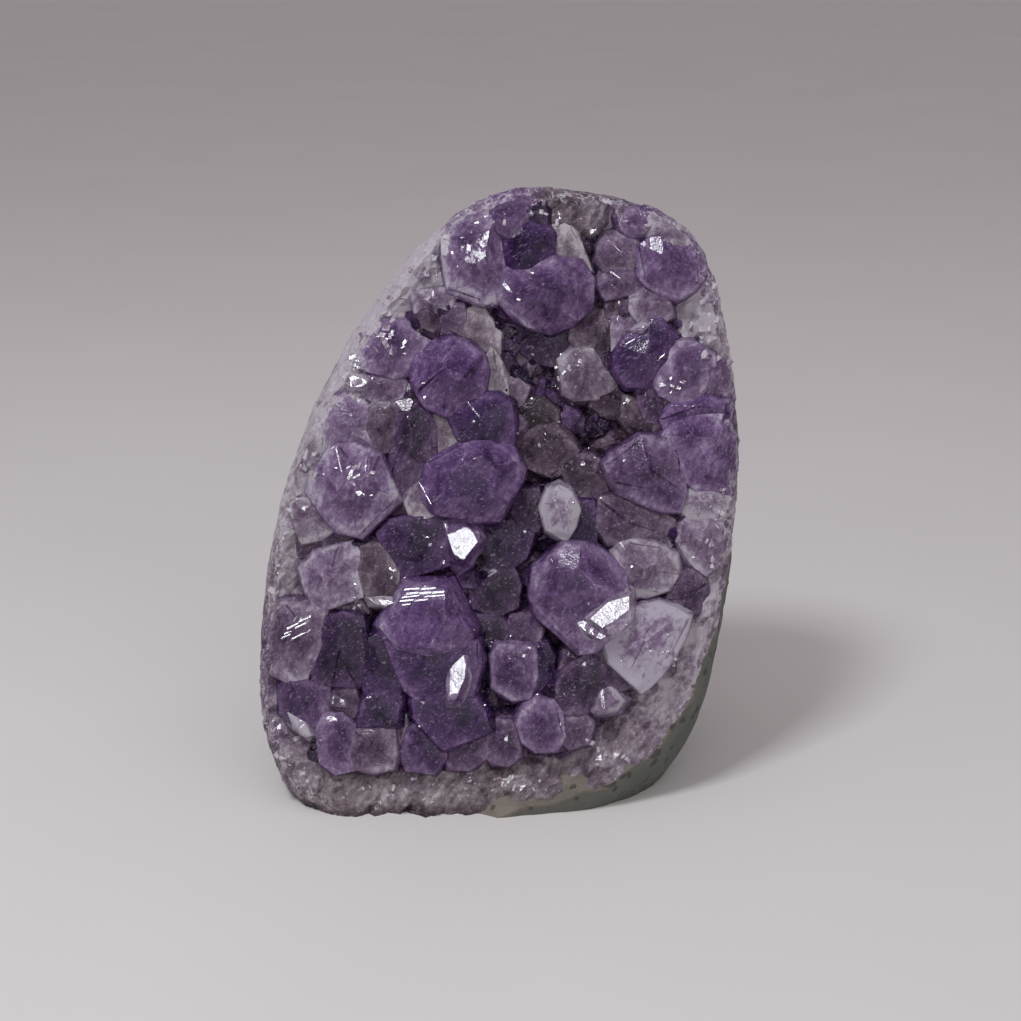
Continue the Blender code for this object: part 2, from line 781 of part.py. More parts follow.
    "foot_grey": (
        -1.6,
        [
            (-21.3, 12.8), (-18.4, 13.7), (-15.6, 13.0), (-15.4, 10.0), (-15.8, 7.8), (-18.4, 7.1),
            (-21.0, 7.6), (-22.0, 10.0),
        ],
        [(-18.6, 10.8, -0.8)],
    ),
    "foot_side": (
        -2.6,
        [
            (-15.6, 13.6), (-14.6, 16.6), (-13.9, 15.6), (-13.4, 12.4), (-14.6, 9.2), (-15.6, 9.6),
        ],
        [(-14.6, 13.0, -2.2)],
    ),
    "foot_lilac": (
        -1.7,
        [
            (-26.8, 12.2), (-25.6, 15.2), (-23.0, 15.4), (-21.4, 13.6), (-21.6, 10.0), (-21.2, 7.6),
            (-24.0, 7.0), (-26.0, 8.6),
        ],
        [(-23.8, 11.6, -0.6)],
    ),
    "foot_left": (
        -1.9,
        [
            (-31.8, 19.6), (-29.0, 20.8), (-27.0, 20.8), (-25.0, 19.6), (-25.2, 16.6), (-26.6, 14.4),
            (-27.4, 12.4), (-29.2, 13.4), (-31.6, 15.6),
        ],
        [(-28.6, 17.4, -0.7)],
    ),
    "foot_right": (
        -2.6,
        [
            (8.8, 15.0), (12.0, 15.4), (13.4, 14.0), (12.6, 11.2), (10.0, 10.4), (8.6, 12.0),
        ],
        [(11.0, 13.2, -1.8)],
    ),
}

# The crystals with a broad pane, all facing the same way (right, up, out): the shoulder, the pane's
# middle (u, v, height), the pane's corners, the body's corners, and further points of the tip
PANE_FACING = (-0.16, 0.445, 0.88)
PANE_CRYSTALS = {
    "middle_pane": (
        -2.2,
        (-5.6, 41.2, -0.6),
        [
            (-8.0, 43.0), (-5.9, 43.5), (-3.9, 42.0), (-3.2, 40.7), (-5.2, 38.2), (-6.6, 38.4),
            (-7.5, 40.8),
        ],
        [
            (-8.3, 43.4), (-5.8, 44.1), (-3.4, 42.7), (-2.8, 40.6), (-4.4, 36.8), (-6.0, 36.0),
            (-7.4, 37.6),
        ],
        [],
    ),
    "right_pane": (
        -1.6,
        (16.2, 30.4, 2.2),
        [
            (12.6, 29.8), (15.3, 32.2), (17.4, 32.7), (18.4, 33.2), (18.4, 29.9), (16.4, 28.0),
            (15.2, 28.0),
        ],
        [
            (11.4, 30.0), (14.5, 32.8), (17.2, 34.2), (18.9, 33.6), (18.9, 29.4), (17.0, 27.4),
            (15.4, 26.6), (13.4, 27.4),
        ],
        [],
    ),
    "chevron_pane": (
        -1.6,
        (12.9, 28.4, 0.9),
        [
            (10.4, 29.3), (11.5, 29.8), (15.2, 27.3), (14.2, 26.8), (12.0, 27.9),
        ],
        [
            (9.9, 29.2), (11.4, 30.4), (15.9, 27.3), (14.6, 26.2), (11.8, 26.9),
        ],
        [],
    ),
    "hero_pane": (
        -1.0,
        (-6.1, 21.0, 1.5),
        [
            (-7.4, 17.7), (-7.3, 22.4), (-6.2, 24.2), (-5.3, 24.6), (-4.9, 23.0), (-5.1, 21.2),
            (-6.3, 18.6),
        ],
        [
            (-7.8, 17.2), (-7.7, 22.8), (-6.2, 25.0), (-4.4, 25.0), (-4.2, 21.0), (-5.0, 17.6),
            (-6.2, 17.0),
        ],
        [],
    ),
    "low_blade": (
        -1.6,
        (-16.2, 15.4, -1.0),
        [
            (-18.7, 14.6), (-14.9, 17.3), (-14.9, 14.3),
        ],
        [
            (-20.9, 13.6), (-20.2, 16.2), (-19.5, 19.0), (-15.2, 18.9), (-14.3, 18.0), (-14.4, 13.8),
            (-16.0, 13.3),
        ],
        [(-19.6, 18.0, -0.7)],
    ),
    "low_bead_pane": (
        -1.8,
        (-23.4, 17.2, -1.1),
        [
            (-24.5, 16.8), (-24.2, 17.7), (-22.6, 17.7), (-22.5, 16.7),
        ],
        [
            (-24.8, 16.5), (-24.4, 18.2), (-22.4, 18.2), (-22.2, 16.4),
        ],
        [],
    ),
    "low_prism": (
        -2.0,
        (14.7, 17.2, -0.9),
        [
            (13.6, 16.3), (14.7, 18.7), (15.5, 18.2), (15.2, 16.8), (14.5, 16.1),
        ],
        [
            (13.3, 16.0), (14.7, 19.5), (16.0, 19.5), (18.0, 17.4), (16.8, 16.0), (14.5, 15.5),
        ],
        [(16.2, 17.6, -1.2)],
    ),
    "crescent_pane": (
        -2.2,
        (-21.0, 63.3, -1.4),
        [
            (-22.6, 64.1), (-21.9, 64.4), (-21.0, 63.7), (-20.0, 63.6), (-19.4, 63.9), (-19.0, 63.4),
            (-19.9, 62.8), (-21.3, 62.7),
        ],
        [
            (-22.9, 64.2), (-21.8, 64.8), (-19.3, 64.4), (-18.7, 63.3), (-19.8, 62.4), (-21.4, 62.3),
        ],
        [],
    ),
    "left_flash": (
        -1.8,
        (-17.2, 31.9, -1.0),
        [
            (-19.0, 32.3), (-17.2, 32.3), (-15.2, 31.8), (-16.6, 31.4), (-18.2, 31.7),
        ],
        [
            (-19.4, 32.5), (-17.0, 32.8), (-14.9, 31.8), (-16.6, 31.0), (-18.4, 31.3),
        ],
        [],
    ),
    "brow_flash": (
        -1.2,
        (20.0, 71.2, -0.7),
        [
            (19.0, 71.1), (20.7, 71.6), (20.1, 70.8),
        ],
        [
            (18.4, 71.0), (20.6, 72.0), (21.2, 71.6), (20.2, 70.4),
        ],
        [],
    ),
    "foot_flash": (
        -1.8,
        (-28.9, 13.9, -1.3),
        [
            (-30.8, 15.9), (-29.6, 15.7), (-28.3, 13.4), (-27.3, 12.6), (-28.2, 12.3),
        ],
        [
            (-31.2, 16.1), (-29.4, 16.2), (-27.0, 12.8), (-28.2, 11.8), (-30.2, 13.8),
        ],
        [],
    ),
    "hero": (
        -0.8,
        (-10.9, 33.2, 1.2),
        [(-13.4, 34.2), (-7.6, 34.0), (-7.9, 32.7), (-14.4, 32.3)],
        [
            (-17.4, 28.3), (-13.8, 34.4), (-7.3, 34.3), (-4.1, 28.4), (-4.6, 25.2), (-10.4, 23.4),
            (-15.2, 25.2),
        ],
        [(-10.2, 25.8, 2.4), (-14.4, 25.6, 1.0), (-4.6, 28.0, 0.6), (-7.9, 29.8, 2.4), (-8.2, 31.4, 2.2)],
    ),
}

FACE = Matrix.Translation((0, FACE_FOOT_Y, 0)) @ Matrix.Rotation(math.radians(90) - FACE_LEAN, 4, "X")
FACE_SIZE = (110.0, 130.0)
BIG = 200.0


def remove_everything():
    for obj in list(bpy.data.objects):
        bpy.data.objects.remove(obj, do_unlink=True)


def new_collection(name):
    collection = bpy.data.collections.new(name)
    bpy.context.scene.collection.children.link(collection)
    return collection


def stone_finish(name, colour, roughness):
    material = bpy.data.materials.new(name)
    material.use_nodes = True
    shader = material.node_tree.nodes["Principled BSDF"]
    shader.inputs["Base Color"].default_value = (*colour, 1.0)
    shader.inputs["Roughness"].default_value = roughness
    shader.inputs["Metallic"].default_value = 0.0
    return material


def object_from(bm, name, collection):
    """An object from a bmesh laid out in mm in the face's frame."""
    bmesh.ops.recalc_face_normals(bm, faces=bm.faces)
    mesh = bpy.data.meshes.new(name)
    bm.to_mesh(mesh)
    bm.free()
    mesh.transform(FACE @ Matrix.Scale(MM, 4))
    obj = bpy.data.objects.new(name, mesh)
    collection.objects.link(obj)
    return obj


def helper(obj):
    """Marks a cutter or a guide."""
    obj.hide_render = True
    obj.display_type = "WIRE"
    return obj


def smooth_bump(distance, reach):
    """1 at distance 0, falling smoothly to 0 at the reach."""
    share = min(1.0, abs(distance) / reach)
    return (1 - share * share) ** 2


def blend_points(points, u, v):
    """The value at (u, v) blended from scattered points (u, v, value), the nearest counting most."""
    total = weights = 0.0
    for point_u, point_v, value in points:
        weight = 1.0 / ((u - point_u) ** 2 + (v - point_v) ** 2 + 4.0) ** 2
        total += weight * value
        weights += weight
    return total / weights


def inset_from_outline(u, v):
    """How far inside the stone's outline (u, v) lies."""
    edges = zip(OUTLINE, OUTLINE[1:] + OUTLINE[:1])
    insets = []
    for (u0, v0, _), (u1, v1, _) in edges:
        along = Vector((u1 - u0, v1 - v0)).normalized()
        insets.append((u - u0) * -along.y + (v - v0) * along.x)
    return min(insets)


def gully(u, v):
    """How much of the dark gully down the middle of the face is at (u, v), 0 to 1."""
    middle = 6.0 + 5.0 * math.sin((v - 20.0) / 22.0)
    return smooth_bump(u - middle, 13.0) * smooth_bump(v - 46.0, 40.0)


def druse_floor(u, v):
    """Height of the quartz layer's front, between the crystals and out to the ground rim."""
    rough = noise.fractal(Vector((u, v, 0.0)) * 0.16, 0.9, 2.0, 3)
    wander = RIM_WANDER * noise.noise(Vector((u, v, 3.0)) * 0.2)
    rim = max(0.0, 1.0 - (inset_from_outline(u, v) + wander) / blend_points(RIM_WIDTHS, u, v))
    return DRUSE_FLOOR - GULLY_DEPTH * gully(u, v) + DRUSE_RELIEF * rough + RIM_RISE * rim


def rock_level(u, v):
    """Height of the rock's front, behind the quartz."""
    rough = noise.fractal(Vector((u, v, 7.0)) * 0.09, 0.9, 2.0, 3)
    return blend_points(ROCK_FRONT, u, v) + ROCK_RELIEF * rough


def block_behind(name, level, cells, collection):
    """A block that fills everything behind a height given over the face."""
    across, up = cells
    bm = bmesh.new()
    bmesh.ops.create_grid(bm, x_segments=across, y_segments=up, size=0.5)
    front = bm.verts[:]
    for vert in front:
        u = vert.co.x * FACE_SIZE[0]
        v = vert.co.y * FACE_SIZE[1] + STONE_MIDDLE[1]
        vert.co = Vector((u, v, level(u, v)))
    bmesh.ops.triangulate(bm, faces=bm.faces[:], quad_method="FIXED")
    extruded = bmesh.ops.extrude_face_region(bm, geom=bm.faces[:])
    for item in extruded["geom"]:
        if isinstance(item, bmesh.types.BMVert):
            item.co.z = -BIG
    return helper(object_from(bm, name, collection))


def stone_body(collection):
    """The whole stone's rounded outside, crystals and rock together, before it is divided."""
    middle = Vector((*STONE_MIDDLE, 0.0))
    rings = [[], []]
    for u, v, inset in OUTLINE:
        edge = Vector((u, v, 0.0))
        inward = (middle - edge).normalized() * inset
        rings[0].append(edge + inward + Vector((0, 0, FRONT_EDGE_HEIGHT)))
        rings[1].append(edge + Vector((0, 0, WIDEST_HEIGHT)))
    for size, depth in BACK_RINGS:
        ring = []
        for u, v, _ in OUTLINE:
            point = middle.lerp(Vector((u, v, 0.0)), size)
            point.z = -depth * (BACK_DEPTH - BACK_TAPER * v)
            ring.append(point)
        rings.append(ring)
    bm = bmesh.new()
    loops = [[bm.verts.new(point) for point in ring] for ring in rings]
    for near, far in zip(loops, loops[1:]):
        for i in range(len(near)):
            j = (i + 1) % len(near)
            bm.faces.new((near[i], near[j], far[j], far[i]))
    for loop, bulge in ((loops[0], FRONT_BULGE), (loops[-1], -1.5)):
        centre = sum((vert.co for vert in loop), Vector()) / len(loop)
        crown = bm.verts.new(centre + Vector((0, 0, bulge)))
        for i in range(len(loop)):
            bm.faces.new((loop[i], loop[(i + 1) % len(loop)], crown))
    body = object_from(bm, "stone_body", collection)
    rounded = body.modifiers.new("rounded", "SUBSURF")
    rounded.levels = rounded.render_levels = 2
    return roughen_skin(plain_mesh(body, "stone_body", collection))


def roughen_skin(body):
    """Pushes the skin in and out: lumpy on the natural back, nearly smooth on the ground rim."""
    to_face = FACE.inverted()
    mesh = body.data
    moves = []
    for vert in mesh.vertices:
        behind = -(to_face @ vert.co).z / (BACK_DEPTH * MM)
        backness = max(0.0, min(1.0, (behind - 0.3) / 0.4))
        relief = RIM_RELIEF + (BACK_SKIN_RELIEF - RIM_RELIEF) * backness
        lump = noise.fractal(vert.co * 95.0, 0.8, 2.0, 4)
        moves.append(vert.normal * relief * lump)
    for vert, move in zip(mesh.vertices, moves):
        vert.co += move
    return helper(body)


def plain_mesh(obj, name, collection):
    """The object as its modifiers leave it, as a new object, with the old one removed."""
    bpy.context.view_layer.update()
    evaluated = obj.evaluated_get(bpy.context.evaluated_depsgraph_get())
    mesh = bpy.data.meshes.new_from_object(evaluated)
    world = obj.matrix_world.copy()
    bpy.data.objects.remove(obj, do_unlink=True)
    mesh.name = name
    made = bpy.data.objects.new(name, mesh)
    made.matrix_world = world
    collection.objects.link(made)
    return made


def convex_body(points):
    """The convex solid round some points."""
    bm = bmesh.new()
    for point in points:
        bm.verts.new(point)
    hull = bmesh.ops.convex_hull(bm, input=bm.verts[:])
    inside = {item for key in ("geom_interior", "geom_unused") for item in hull[key]}
    spare = [item for item in inside if isinstance(item, bmesh.types.BMVert)]
    bmesh.ops.delete(bm, geom=spare, context="VERTS")
    bmesh.ops.dissolve_limit(bm, angle_limit=math.radians(1.5), verts=bm.verts[:], edges=bm.edges[:])
    bmesh.ops.recalc_face_normals(bm, faces=bm.faces)
    return bm


def turn_area(a, b, c):
    """Twice the area of the triangle a, b, c; positive where the outline turns left at b."""
    return (b[0] - a[0]) * (c[1] - a[1]) - (b[1] - a[1]) * (c[0] - a[0])


def convex_outline(corners):
    """The outer corners in order, fewer where there are many, by leaving out the flattest ones."""
    points = sorted(corners)
    outline = []
    for run in (points, points[::-1]):
        side = []
        for point in run:
            while len(side) > 1 and turn_area(side[-2], side[-1], point) <= 0:
                side.pop()
            side.append(point)
        outline += side[:-1]
    while len(outline) > MOST_CORNERS:
        count = len(outline)
        areas = [turn_area(outline[i - 1], outline[i], outline[(i + 1) % count]) for i in range(count)]
        outline.pop(areas.index(min(areas)))
    return outline


def crystal_blank(shoulder, outline, top):
    """The corners of a crystal's body, spreading a little below the shoulder."""
    centre = sum((Vector(corner) for corner in outline), Vector((0, 0))) / len(outline)
    points = []
    for corner in outline:
        wide = Vector(corner) + (Vector(corner) - centre).normalized() * SKIRT
        points.append(Vector((*corner, top)))
        points.append(Vector((*wide, shoulder - SKIRT_DROP)))
        points.append(Vector((*wide, ROOT_DEPTH)))
    return points


def trim(bm, point, normal):
    """Cuts away what lies beyond a plane and closes the cut with one flat face."""
    everything = bm.verts[:] + bm.edges[:] + bm.faces[:]
    bmesh.ops.bisect_plane(bm, geom=everything, dist=1e-5, plane_co=point, plane_no=normal, clear_outer=True)
    bmesh.ops.holes_fill(bm, edges=[edge for edge in bm.edges if edge.is_boundary], sides=0)


def cut_tip(bm, chance, shoulder, outline, tips):
    """Cuts a quartz tip: three large faces through the tip, and three smaller ones between them."""
    edges = zip(outline, outline[1:] + outline[:1])
    (u0, v0), (u1, v1) = max(edges, key=lambda ends: math.dist(*ends))
    first = math.atan2(u0 - u1, v1 - v0)
    drop = max(tip[2] for tip in tips) - shoulder
    for i in range(0, 6, 1 if drop > SMALL_DROP else 2):
        angle = first + math.radians(60 * i + chance.uniform(-7, 7))
        towards = Vector((math.cos(angle), math.sin(angle)))
        tip = max(tips, key=lambda point: Vector(point[:2]).dot(towards))
        reach = max(Vector(corner).dot(towards) for corner in outline) - Vector(tip[:2]).dot(towards)
        lift = 0.0 if i % 2 == 0 else chance.uniform(0.05, 0.3) * drop
        slope = (drop + lift) * chance.uniform(0.85, 1.15) / max(reach, 0.6)
        facing = Vector((*(towards * slope), 1)).normalized()
        trim(bm, Vector((tip[0], tip[1], tip[2] + lift)), facing)
    if len(tips) > 2:
        a, b, c = (Vector(tip) for tip in tips[:3])
        flat = (b - a).cross(c - a).normalized()
        trim(bm, a, flat if flat.z > 0 else -flat)


def pane_points(middle, corners):
    """The corners of a pane, at the heights that give it its facing."""
    u0, v0, height = middle
    right, up, out = PANE_FACING
    return [Vector((u, v, height - ((u - u0) * right + (v - v0) * up) / out)) for u, v in corners]


def grow_crystals(collection):
    for number, (name, (shoulder, corners, tips)) in enumerate(CRYSTALS.items()):
        outline = convex_outline(corners)
        bm = convex_body(crystal_blank(shoulder, outline, max(tip[2] for tip in tips)))
        cut_tip(bm, random.Random(100 + number), shoulder, outline, tips)
        bmesh.ops.remove_doubles(bm, verts=bm.verts[:], dist=0.02)
        points = [vert.co.copy() for vert in bm.verts]
        bm.free()
        bm = convex_body(points)
        bmesh.ops.triangulate(bm, faces=bm.faces[:])
        helper(object_from(bm, name, collection))
    for name, (shoulder, middle, pane, corners, tips) in PANE_CRYSTALS.items():
        points = crystal_blank(shoulder, convex_outline(corners), shoulder)
        bm = convex_body(points + pane_points(middle, pane) + [Vector(tip) for tip in tips])
        bmesh.ops.triangulate(bm, faces=bm.faces[:])
        helper(object_from(bm, name, collection))


def combine(obj, operation, other):
    """Adds a Boolean with another object, or with every object of a collection."""
    step = obj.modifiers.new(operation.lower(), "BOOLEAN")
    step.operation = operation
    if isinstance(other, bpy.types.Collection):
        step.operand_type = "COLLECTION"
        step.collection = other
    else:
        step.object = other


def keep_largest_piece(obj):
    """Drops the crumbs that the stone's outside may cut from crystals at the rim."""
    bm = bmesh.new()
    bm.from_mesh(obj.data)
    left = set(bm.verts)
    pieces = []
    while left:
        piece = [left.pop()]
        for vert in piece:
            for edge in vert.link_edges:
                other = edge.other_vert(vert)
                if other in left:
                    left.remove(other)
                    piece.append(other)
        pieces.append(piece)
    pieces.sort(key=len)
    bmesh.ops.delete(bm, geom=[vert for piece in pieces[:-1] for vert in piece], context="VERTS")
    bm.to_mesh(obj.data)
    bm.free()


def saw_base(obj, collection):
    """Saws off everything below the table."""
    bm = bmesh.new()
    bmesh.ops.create_cube(bm, size=BIG * MM)
    bmesh.ops.translate(bm, verts=bm.verts, vec=(0, 0, -BIG * MM / 2))
    mesh = bpy.data.meshes.new("below_table")
    bm.to_mesh(mesh)
    bm.free()
    below = bpy.data.objects.new("below_table", mesh)
    collection.objects.link(below)
    combine(obj, "DIFFERENCE", helper(below))


def centre_on_plan(objects):
    """Moves the finished stone so that the origin is in the middle of its plan."""
    corners = [vert.co for obj in objects for vert in obj.data.vertices]
    middle = Vector()
    for axis in (0, 1):
        values = [corner[axis] for corner in corners]
        middle[axis] = (min(values) + max(values)) / 2
    for obj in objects:
        obj.data.transform(Matrix.Translation(-middle))
    print("moved by", tuple(-middle / MM))


def build():
    remove_everything()
    stone = new_collection("amethyst_cluster")
    cutters = new_collection("cutters")
    crystals = new_collection("crystals")

    whole = stone_body(cutters)
    rock_front = block_behind("rock_front", rock_level, (12, 14), cutters)
    rock = block_behind("rock_behind", lambda u, v: rock_level(u, v) - ROCK_GAP, (12, 14), cutters)
    quartz = block_behind("quartz_layer", druse_floor, (12, 14), cutters)
    grow_crystals(crystals)

    combine(quartz, "UNION", crystals)
    combine(quartz, "INTERSECT", whole)
    combine(quartz, "DIFFERENCE", rock_front)
    saw_base(quartz, cutters)
    combine(rock, "INTERSECT", whole)
    saw_base(rock, cutters)

    crust = plain_mesh(quartz, "amethyst_crystals", stone)
    matrix = plain_mesh(rock, "rock_matrix", stone)
    for obj in (crust, matrix):
        keep_largest_piece(obj)
        obj.data.materials.clear()
    crust.data.materials.append(stone_finish("amethyst", (0.20, 0.10, 0.30), 0.15))
    matrix.data.materials.append(stone_finish("basalt", (0.16, 0.17, 0.15), 0.6))
    centre_on_plan((crust, matrix))
    return crust, matrix


if __name__ == "__main__":
    build()
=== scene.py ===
# %% [markdown]
# An amethyst cluster is a slice of the wall of a geode. It has three layers: a rind of dull rock, a
# layer of pale quartz that lined the hollow, and the crystals that grew out of it. Here it stands on a
# sawn base with its crystals facing forward, and its edge is ground smooth all round.
# The plan is to give each layer its own shape and finish, then to cut all of them with one rounded
# stone, because that is how the real piece was made: first grown, then broken out, sawn and ground.
# %% Load the plain model that this one dresses
import json
import math
import random
from collections import namedtuple

import bmesh
import bpy
from mathutils import Matrix, Vector, noise
from mathutils.bvhtree import BVHTree

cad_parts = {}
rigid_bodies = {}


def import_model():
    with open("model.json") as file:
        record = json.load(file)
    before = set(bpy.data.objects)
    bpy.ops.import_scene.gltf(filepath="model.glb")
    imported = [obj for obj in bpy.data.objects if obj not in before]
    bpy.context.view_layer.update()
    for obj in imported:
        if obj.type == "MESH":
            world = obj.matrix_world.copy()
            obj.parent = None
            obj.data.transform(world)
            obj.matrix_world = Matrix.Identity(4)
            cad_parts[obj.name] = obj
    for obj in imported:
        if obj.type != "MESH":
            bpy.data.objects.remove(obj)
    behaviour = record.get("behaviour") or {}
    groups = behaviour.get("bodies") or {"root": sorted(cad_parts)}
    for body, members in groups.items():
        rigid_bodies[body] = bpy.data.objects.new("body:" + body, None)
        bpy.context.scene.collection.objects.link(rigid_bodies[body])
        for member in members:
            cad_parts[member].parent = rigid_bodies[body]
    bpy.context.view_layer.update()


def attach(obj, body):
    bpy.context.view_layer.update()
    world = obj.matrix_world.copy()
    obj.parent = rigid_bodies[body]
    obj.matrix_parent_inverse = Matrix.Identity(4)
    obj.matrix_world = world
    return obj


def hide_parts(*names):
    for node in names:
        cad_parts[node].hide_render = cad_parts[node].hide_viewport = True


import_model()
MM = 0.001

# %% [markdown]
# Almost everything here is measured on the crystal face, which leans back by 14 degrees. So the work
# is done in that face's own frame, in millimetres: u runs to the right, v runs up the face, and height
# comes out of it, with 0 near the tallest tips. One matrix turns such a point into the scene's metres.
# %% The crystal face's own frame
FACE_LEAN = math.radians(14)
FACE_FOOT = Vector((0.442, -25.196, 0.0)) * MM
FACE = Matrix.Translation(FACE_FOOT) @ Matrix.Rotation(math.radians(90) - FACE_LEAN, 4, "X")
FACE_MM = FACE @ Matrix.Scale(MM, 4)
TO_FACE = FACE_MM.inverted()
STONE_MIDDLE = (0.0, 46.0)


def held(value, low=0.0, high=1.0):
    """The value, kept between two limits."""
    return max(low, min(high, value))


def collection_for(name):
    made = bpy.data.collections.new(name)
    bpy.context.scene.collection.children.link(made)
    return made


SHAPING = collection_for("shaping")
CRYSTAL_BLANKS = collection_for("crystal_blanks")
PIECES = collection_for("pieces")


def object_from(bm, name, collection=SHAPING, slots=()):
    """An object from a bmesh laid out in the face's frame, in mm."""
    bmesh.ops.recalc_face_normals(bm, faces=bm.faces)
    mesh = bpy.data.meshes.new(name)
    bm.to_mesh(mesh)
    bm.free()
    mesh.transform(FACE_MM)
    made = bpy.data.objects.new(name, mesh)
    for slot in slots:
        mesh.materials.append(slot)
    collection.objects.link(made)
    return made


def plain_mesh(obj, name, collection=SHAPING):
    """The object as its modifiers leave it, with no modifiers; the first one is removed."""
    bpy.context.view_layer.update()
    evaluated = obj.evaluated_get(bpy.context.evaluated_depsgraph_get())
    mesh = bpy.data.meshes.new_from_object(evaluated)
    bpy.data.objects.remove(obj, do_unlink=True)
    mesh.name = name
    made = bpy.data.objects.new(name, mesh)
    collection.objects.link(made)
    return made


# %% [markdown]
# The camera looks at the face from a little above it. A long lens keeps the stone's sides nearly
# parallel, as they are in a close portrait of a small thing. The room is plain: a pale floor, an even
# pale sky, one wide soft panel in front, and one small bright window, high on the left. The window is
# what makes quartz sparkle: only a face that is turned just right throws it at the camera.
# %% Camera, floor and light
AIM = Vector((1.842, -13.196, 43.5)) * MM
LOOK_DOWN = math.radians(18)
CAMERA_DISTANCE = 285 * MM
WINDOW_PLACE = Vector((-0.287, -0.41, 0.866)) * 0.55
WINDOW_SIZE = 0.10
WINDOW_POWER = 1.15
PANEL_PLACE = Vector((0.25, -0.75, 0.35))
PANEL_SIZE = 1.1
PANEL_POWER = 2.3
SKY = (0.87, 0.80, 0.84)
SKY_STRENGTH = 0.41
COOL_WHITE = (0.95, 0.98, 1.0)
WARM_WHITE = (1.0, 0.98, 0.97)

camera_data = bpy.data.cameras.new("portrait_camera")
camera_data.sensor_width = 36
camera_data.lens = 70
camera_data.clip_start = 0.01
camera = bpy.data.objects.new("portrait_camera", camera_data)
camera.location = AIM + Vector((0, -math.cos(LOOK_DOWN), math.sin(LOOK_DOWN))) * CAMERA_DISTANCE
camera.rotation_euler = (math.radians(90) - LOOK_DOWN, 0, 0)
bpy.context.scene.collection.objects.link(camera)
bpy.context.scene.camera = camera
bpy.context.scene.view_settings.view_transform = "Standard"


def soft_light(name, place, size, power, colour):
    light = bpy.data.lights.new(name, "AREA")
    light.size = size
    light.energy = power
    light.color = colour
    made = bpy.data.objects.new(name, light)
    made.location = place
    made.rotation_euler = (AIM - place).to_track_quat("-Z", "Y").to_euler()
    bpy.context.scene.collection.objects.link(made)
    return made


soft_light("window", WINDOW_PLACE, WINDOW_SIZE, WINDOW_POWER, COOL_WHITE)
soft_light("panel", PANEL_PLACE, PANEL_SIZE, PANEL_POWER, WARM_WHITE)
world = bpy.data.worlds.new("pale_room")
bpy.context.scene.world = world
world.use_nodes = True
world.node_tree.nodes["Background"].inputs["Color"].default_value = (*SKY, 1)
world.node_tree.nodes["Background"].inputs["Strength"].default_value = SKY_STRENGTH
print("camera", tuple(round(value, 3) for value in camera.location))

# %% [markdown]
# Materials are built from small helpers, so that each one reads as a list of what is mixed with what.
# A node's inputs are given by name: a number, a colour or a vector is set on the socket, and another
# node's output is wired to it.
# %% Helpers for building materials


def add_node(tree, kind, settings=None, output=0, **inputs):
    """Adds a node, sets or wires its inputs, and returns one of its outputs."""
    made = tree.nodes.new(kind)
    for key, value in (settings or {}).items():
        setattr(made, key, value)
    for key, value in inputs.items():
        socket = made.inputs[int(key[1:])] if key[0] == "_" else made.inputs[key.replace("_", " ")]
        if isinstance(value, bpy.types.NodeSocket):
            tree.links.new(value, socket)
        else:
            socket.default_value = value
    return made.outputs[output]


def maths(tree, operation, a, b=0.0, c=0.0, clamp=False):
    return add_node(tree, "ShaderNodeMath", {"operation": operation, "use_clamp": clamp}, _0=a, _1=b, _2=c)


def spread(tree, value, low, high, to_low=0.0, to_high=1.0):
    """Maps low..high smoothly to to_low..to_high and holds the ends."""
    return add_node(tree, "ShaderNodeMapRange", {"interpolation_type": "SMOOTHSTEP"},
                    _0=value, _1=low, _2=high, _3=to_low, _4=to_high)


def centred(tree, value):
    """A noise, whose middle is 0.5, moved so that its middle is 0."""
    return maths(tree, "SUBTRACT", value, 0.5)


def add_share(tree, total, value, share, clamp=False):
    """The total plus a share of a value."""
    return maths(tree, "MULTIPLY_ADD", value, share, total, clamp)


def mix_colour(tree, share, a, b):
    settings = {"data_type": "RGBA", "clamp_factor": True}
    return add_node(tree, "ShaderNodeMix", settings, 2, _0=share, _6=a, _7=b)


def colour_ramp(tree, value, stops):
    ramp = tree.nodes.new("ShaderNodeValToRGB")
    elements = ramp.color_ramp.elements
    while len(elements) < len(stops):
        elements.new(0.5)
    for element, (place, colour) in zip(elements, stops):
        element.position = place
        element.color = (*colour, 1)
    tree.links.new(value, ramp.inputs[0])
    return ramp.outputs[0]


def cloud(tree, place, scale, detail=3.0, roughness=0.55, distortion=0.0):
    return add_node(tree, "ShaderNodeTexNoise", _0=place, Scale=scale, Detail=detail, Roughness=roughness,
                    Distortion=distortion)


def new_group(name, ins, outs):
    """A shader node group with named inputs and outputs, and its two end nodes."""
    tree = bpy.data.node_groups.new(name, "ShaderNodeTree")
    for label, kind, value in ins:
        socket = tree.interface.new_socket(label, in_out="INPUT", socket_type="NodeSocket" + kind)
        if value is not None:
            socket.default_value = value
    for label, kind in outs:
        tree.interface.new_socket(label, in_out="OUTPUT", socket_type="NodeSocket" + kind)
    given = tree.nodes.new("NodeGroupInput").outputs
    result = tree.nodes.new("NodeGroupOutput").inputs
    return tree, given, result


def use_group(tree, group, **inputs):
    made = tree.nodes.new("ShaderNodeGroup")
    made.node_tree = group
    for key, value in inputs.items():
        socket = made.inputs[key.replace("_", " ")]
        if isinstance(value, bpy.types.NodeSocket):
            tree.links.new(value, socket)
        else:
            socket.default_value = value
    return made.outputs


def new_material(name, **plain):
    """A material with a Principled BSDF, with the values that are the same all over set on its sockets."""
    material = bpy.data.materials.new(name)
    material.use_nodes = True
    shader = material.node_tree.nodes["Principled BSDF"]
    for key, value in plain.items():
        shader.inputs[key.replace("_", " ")].default_value = value
    return material, material.node_tree, shader


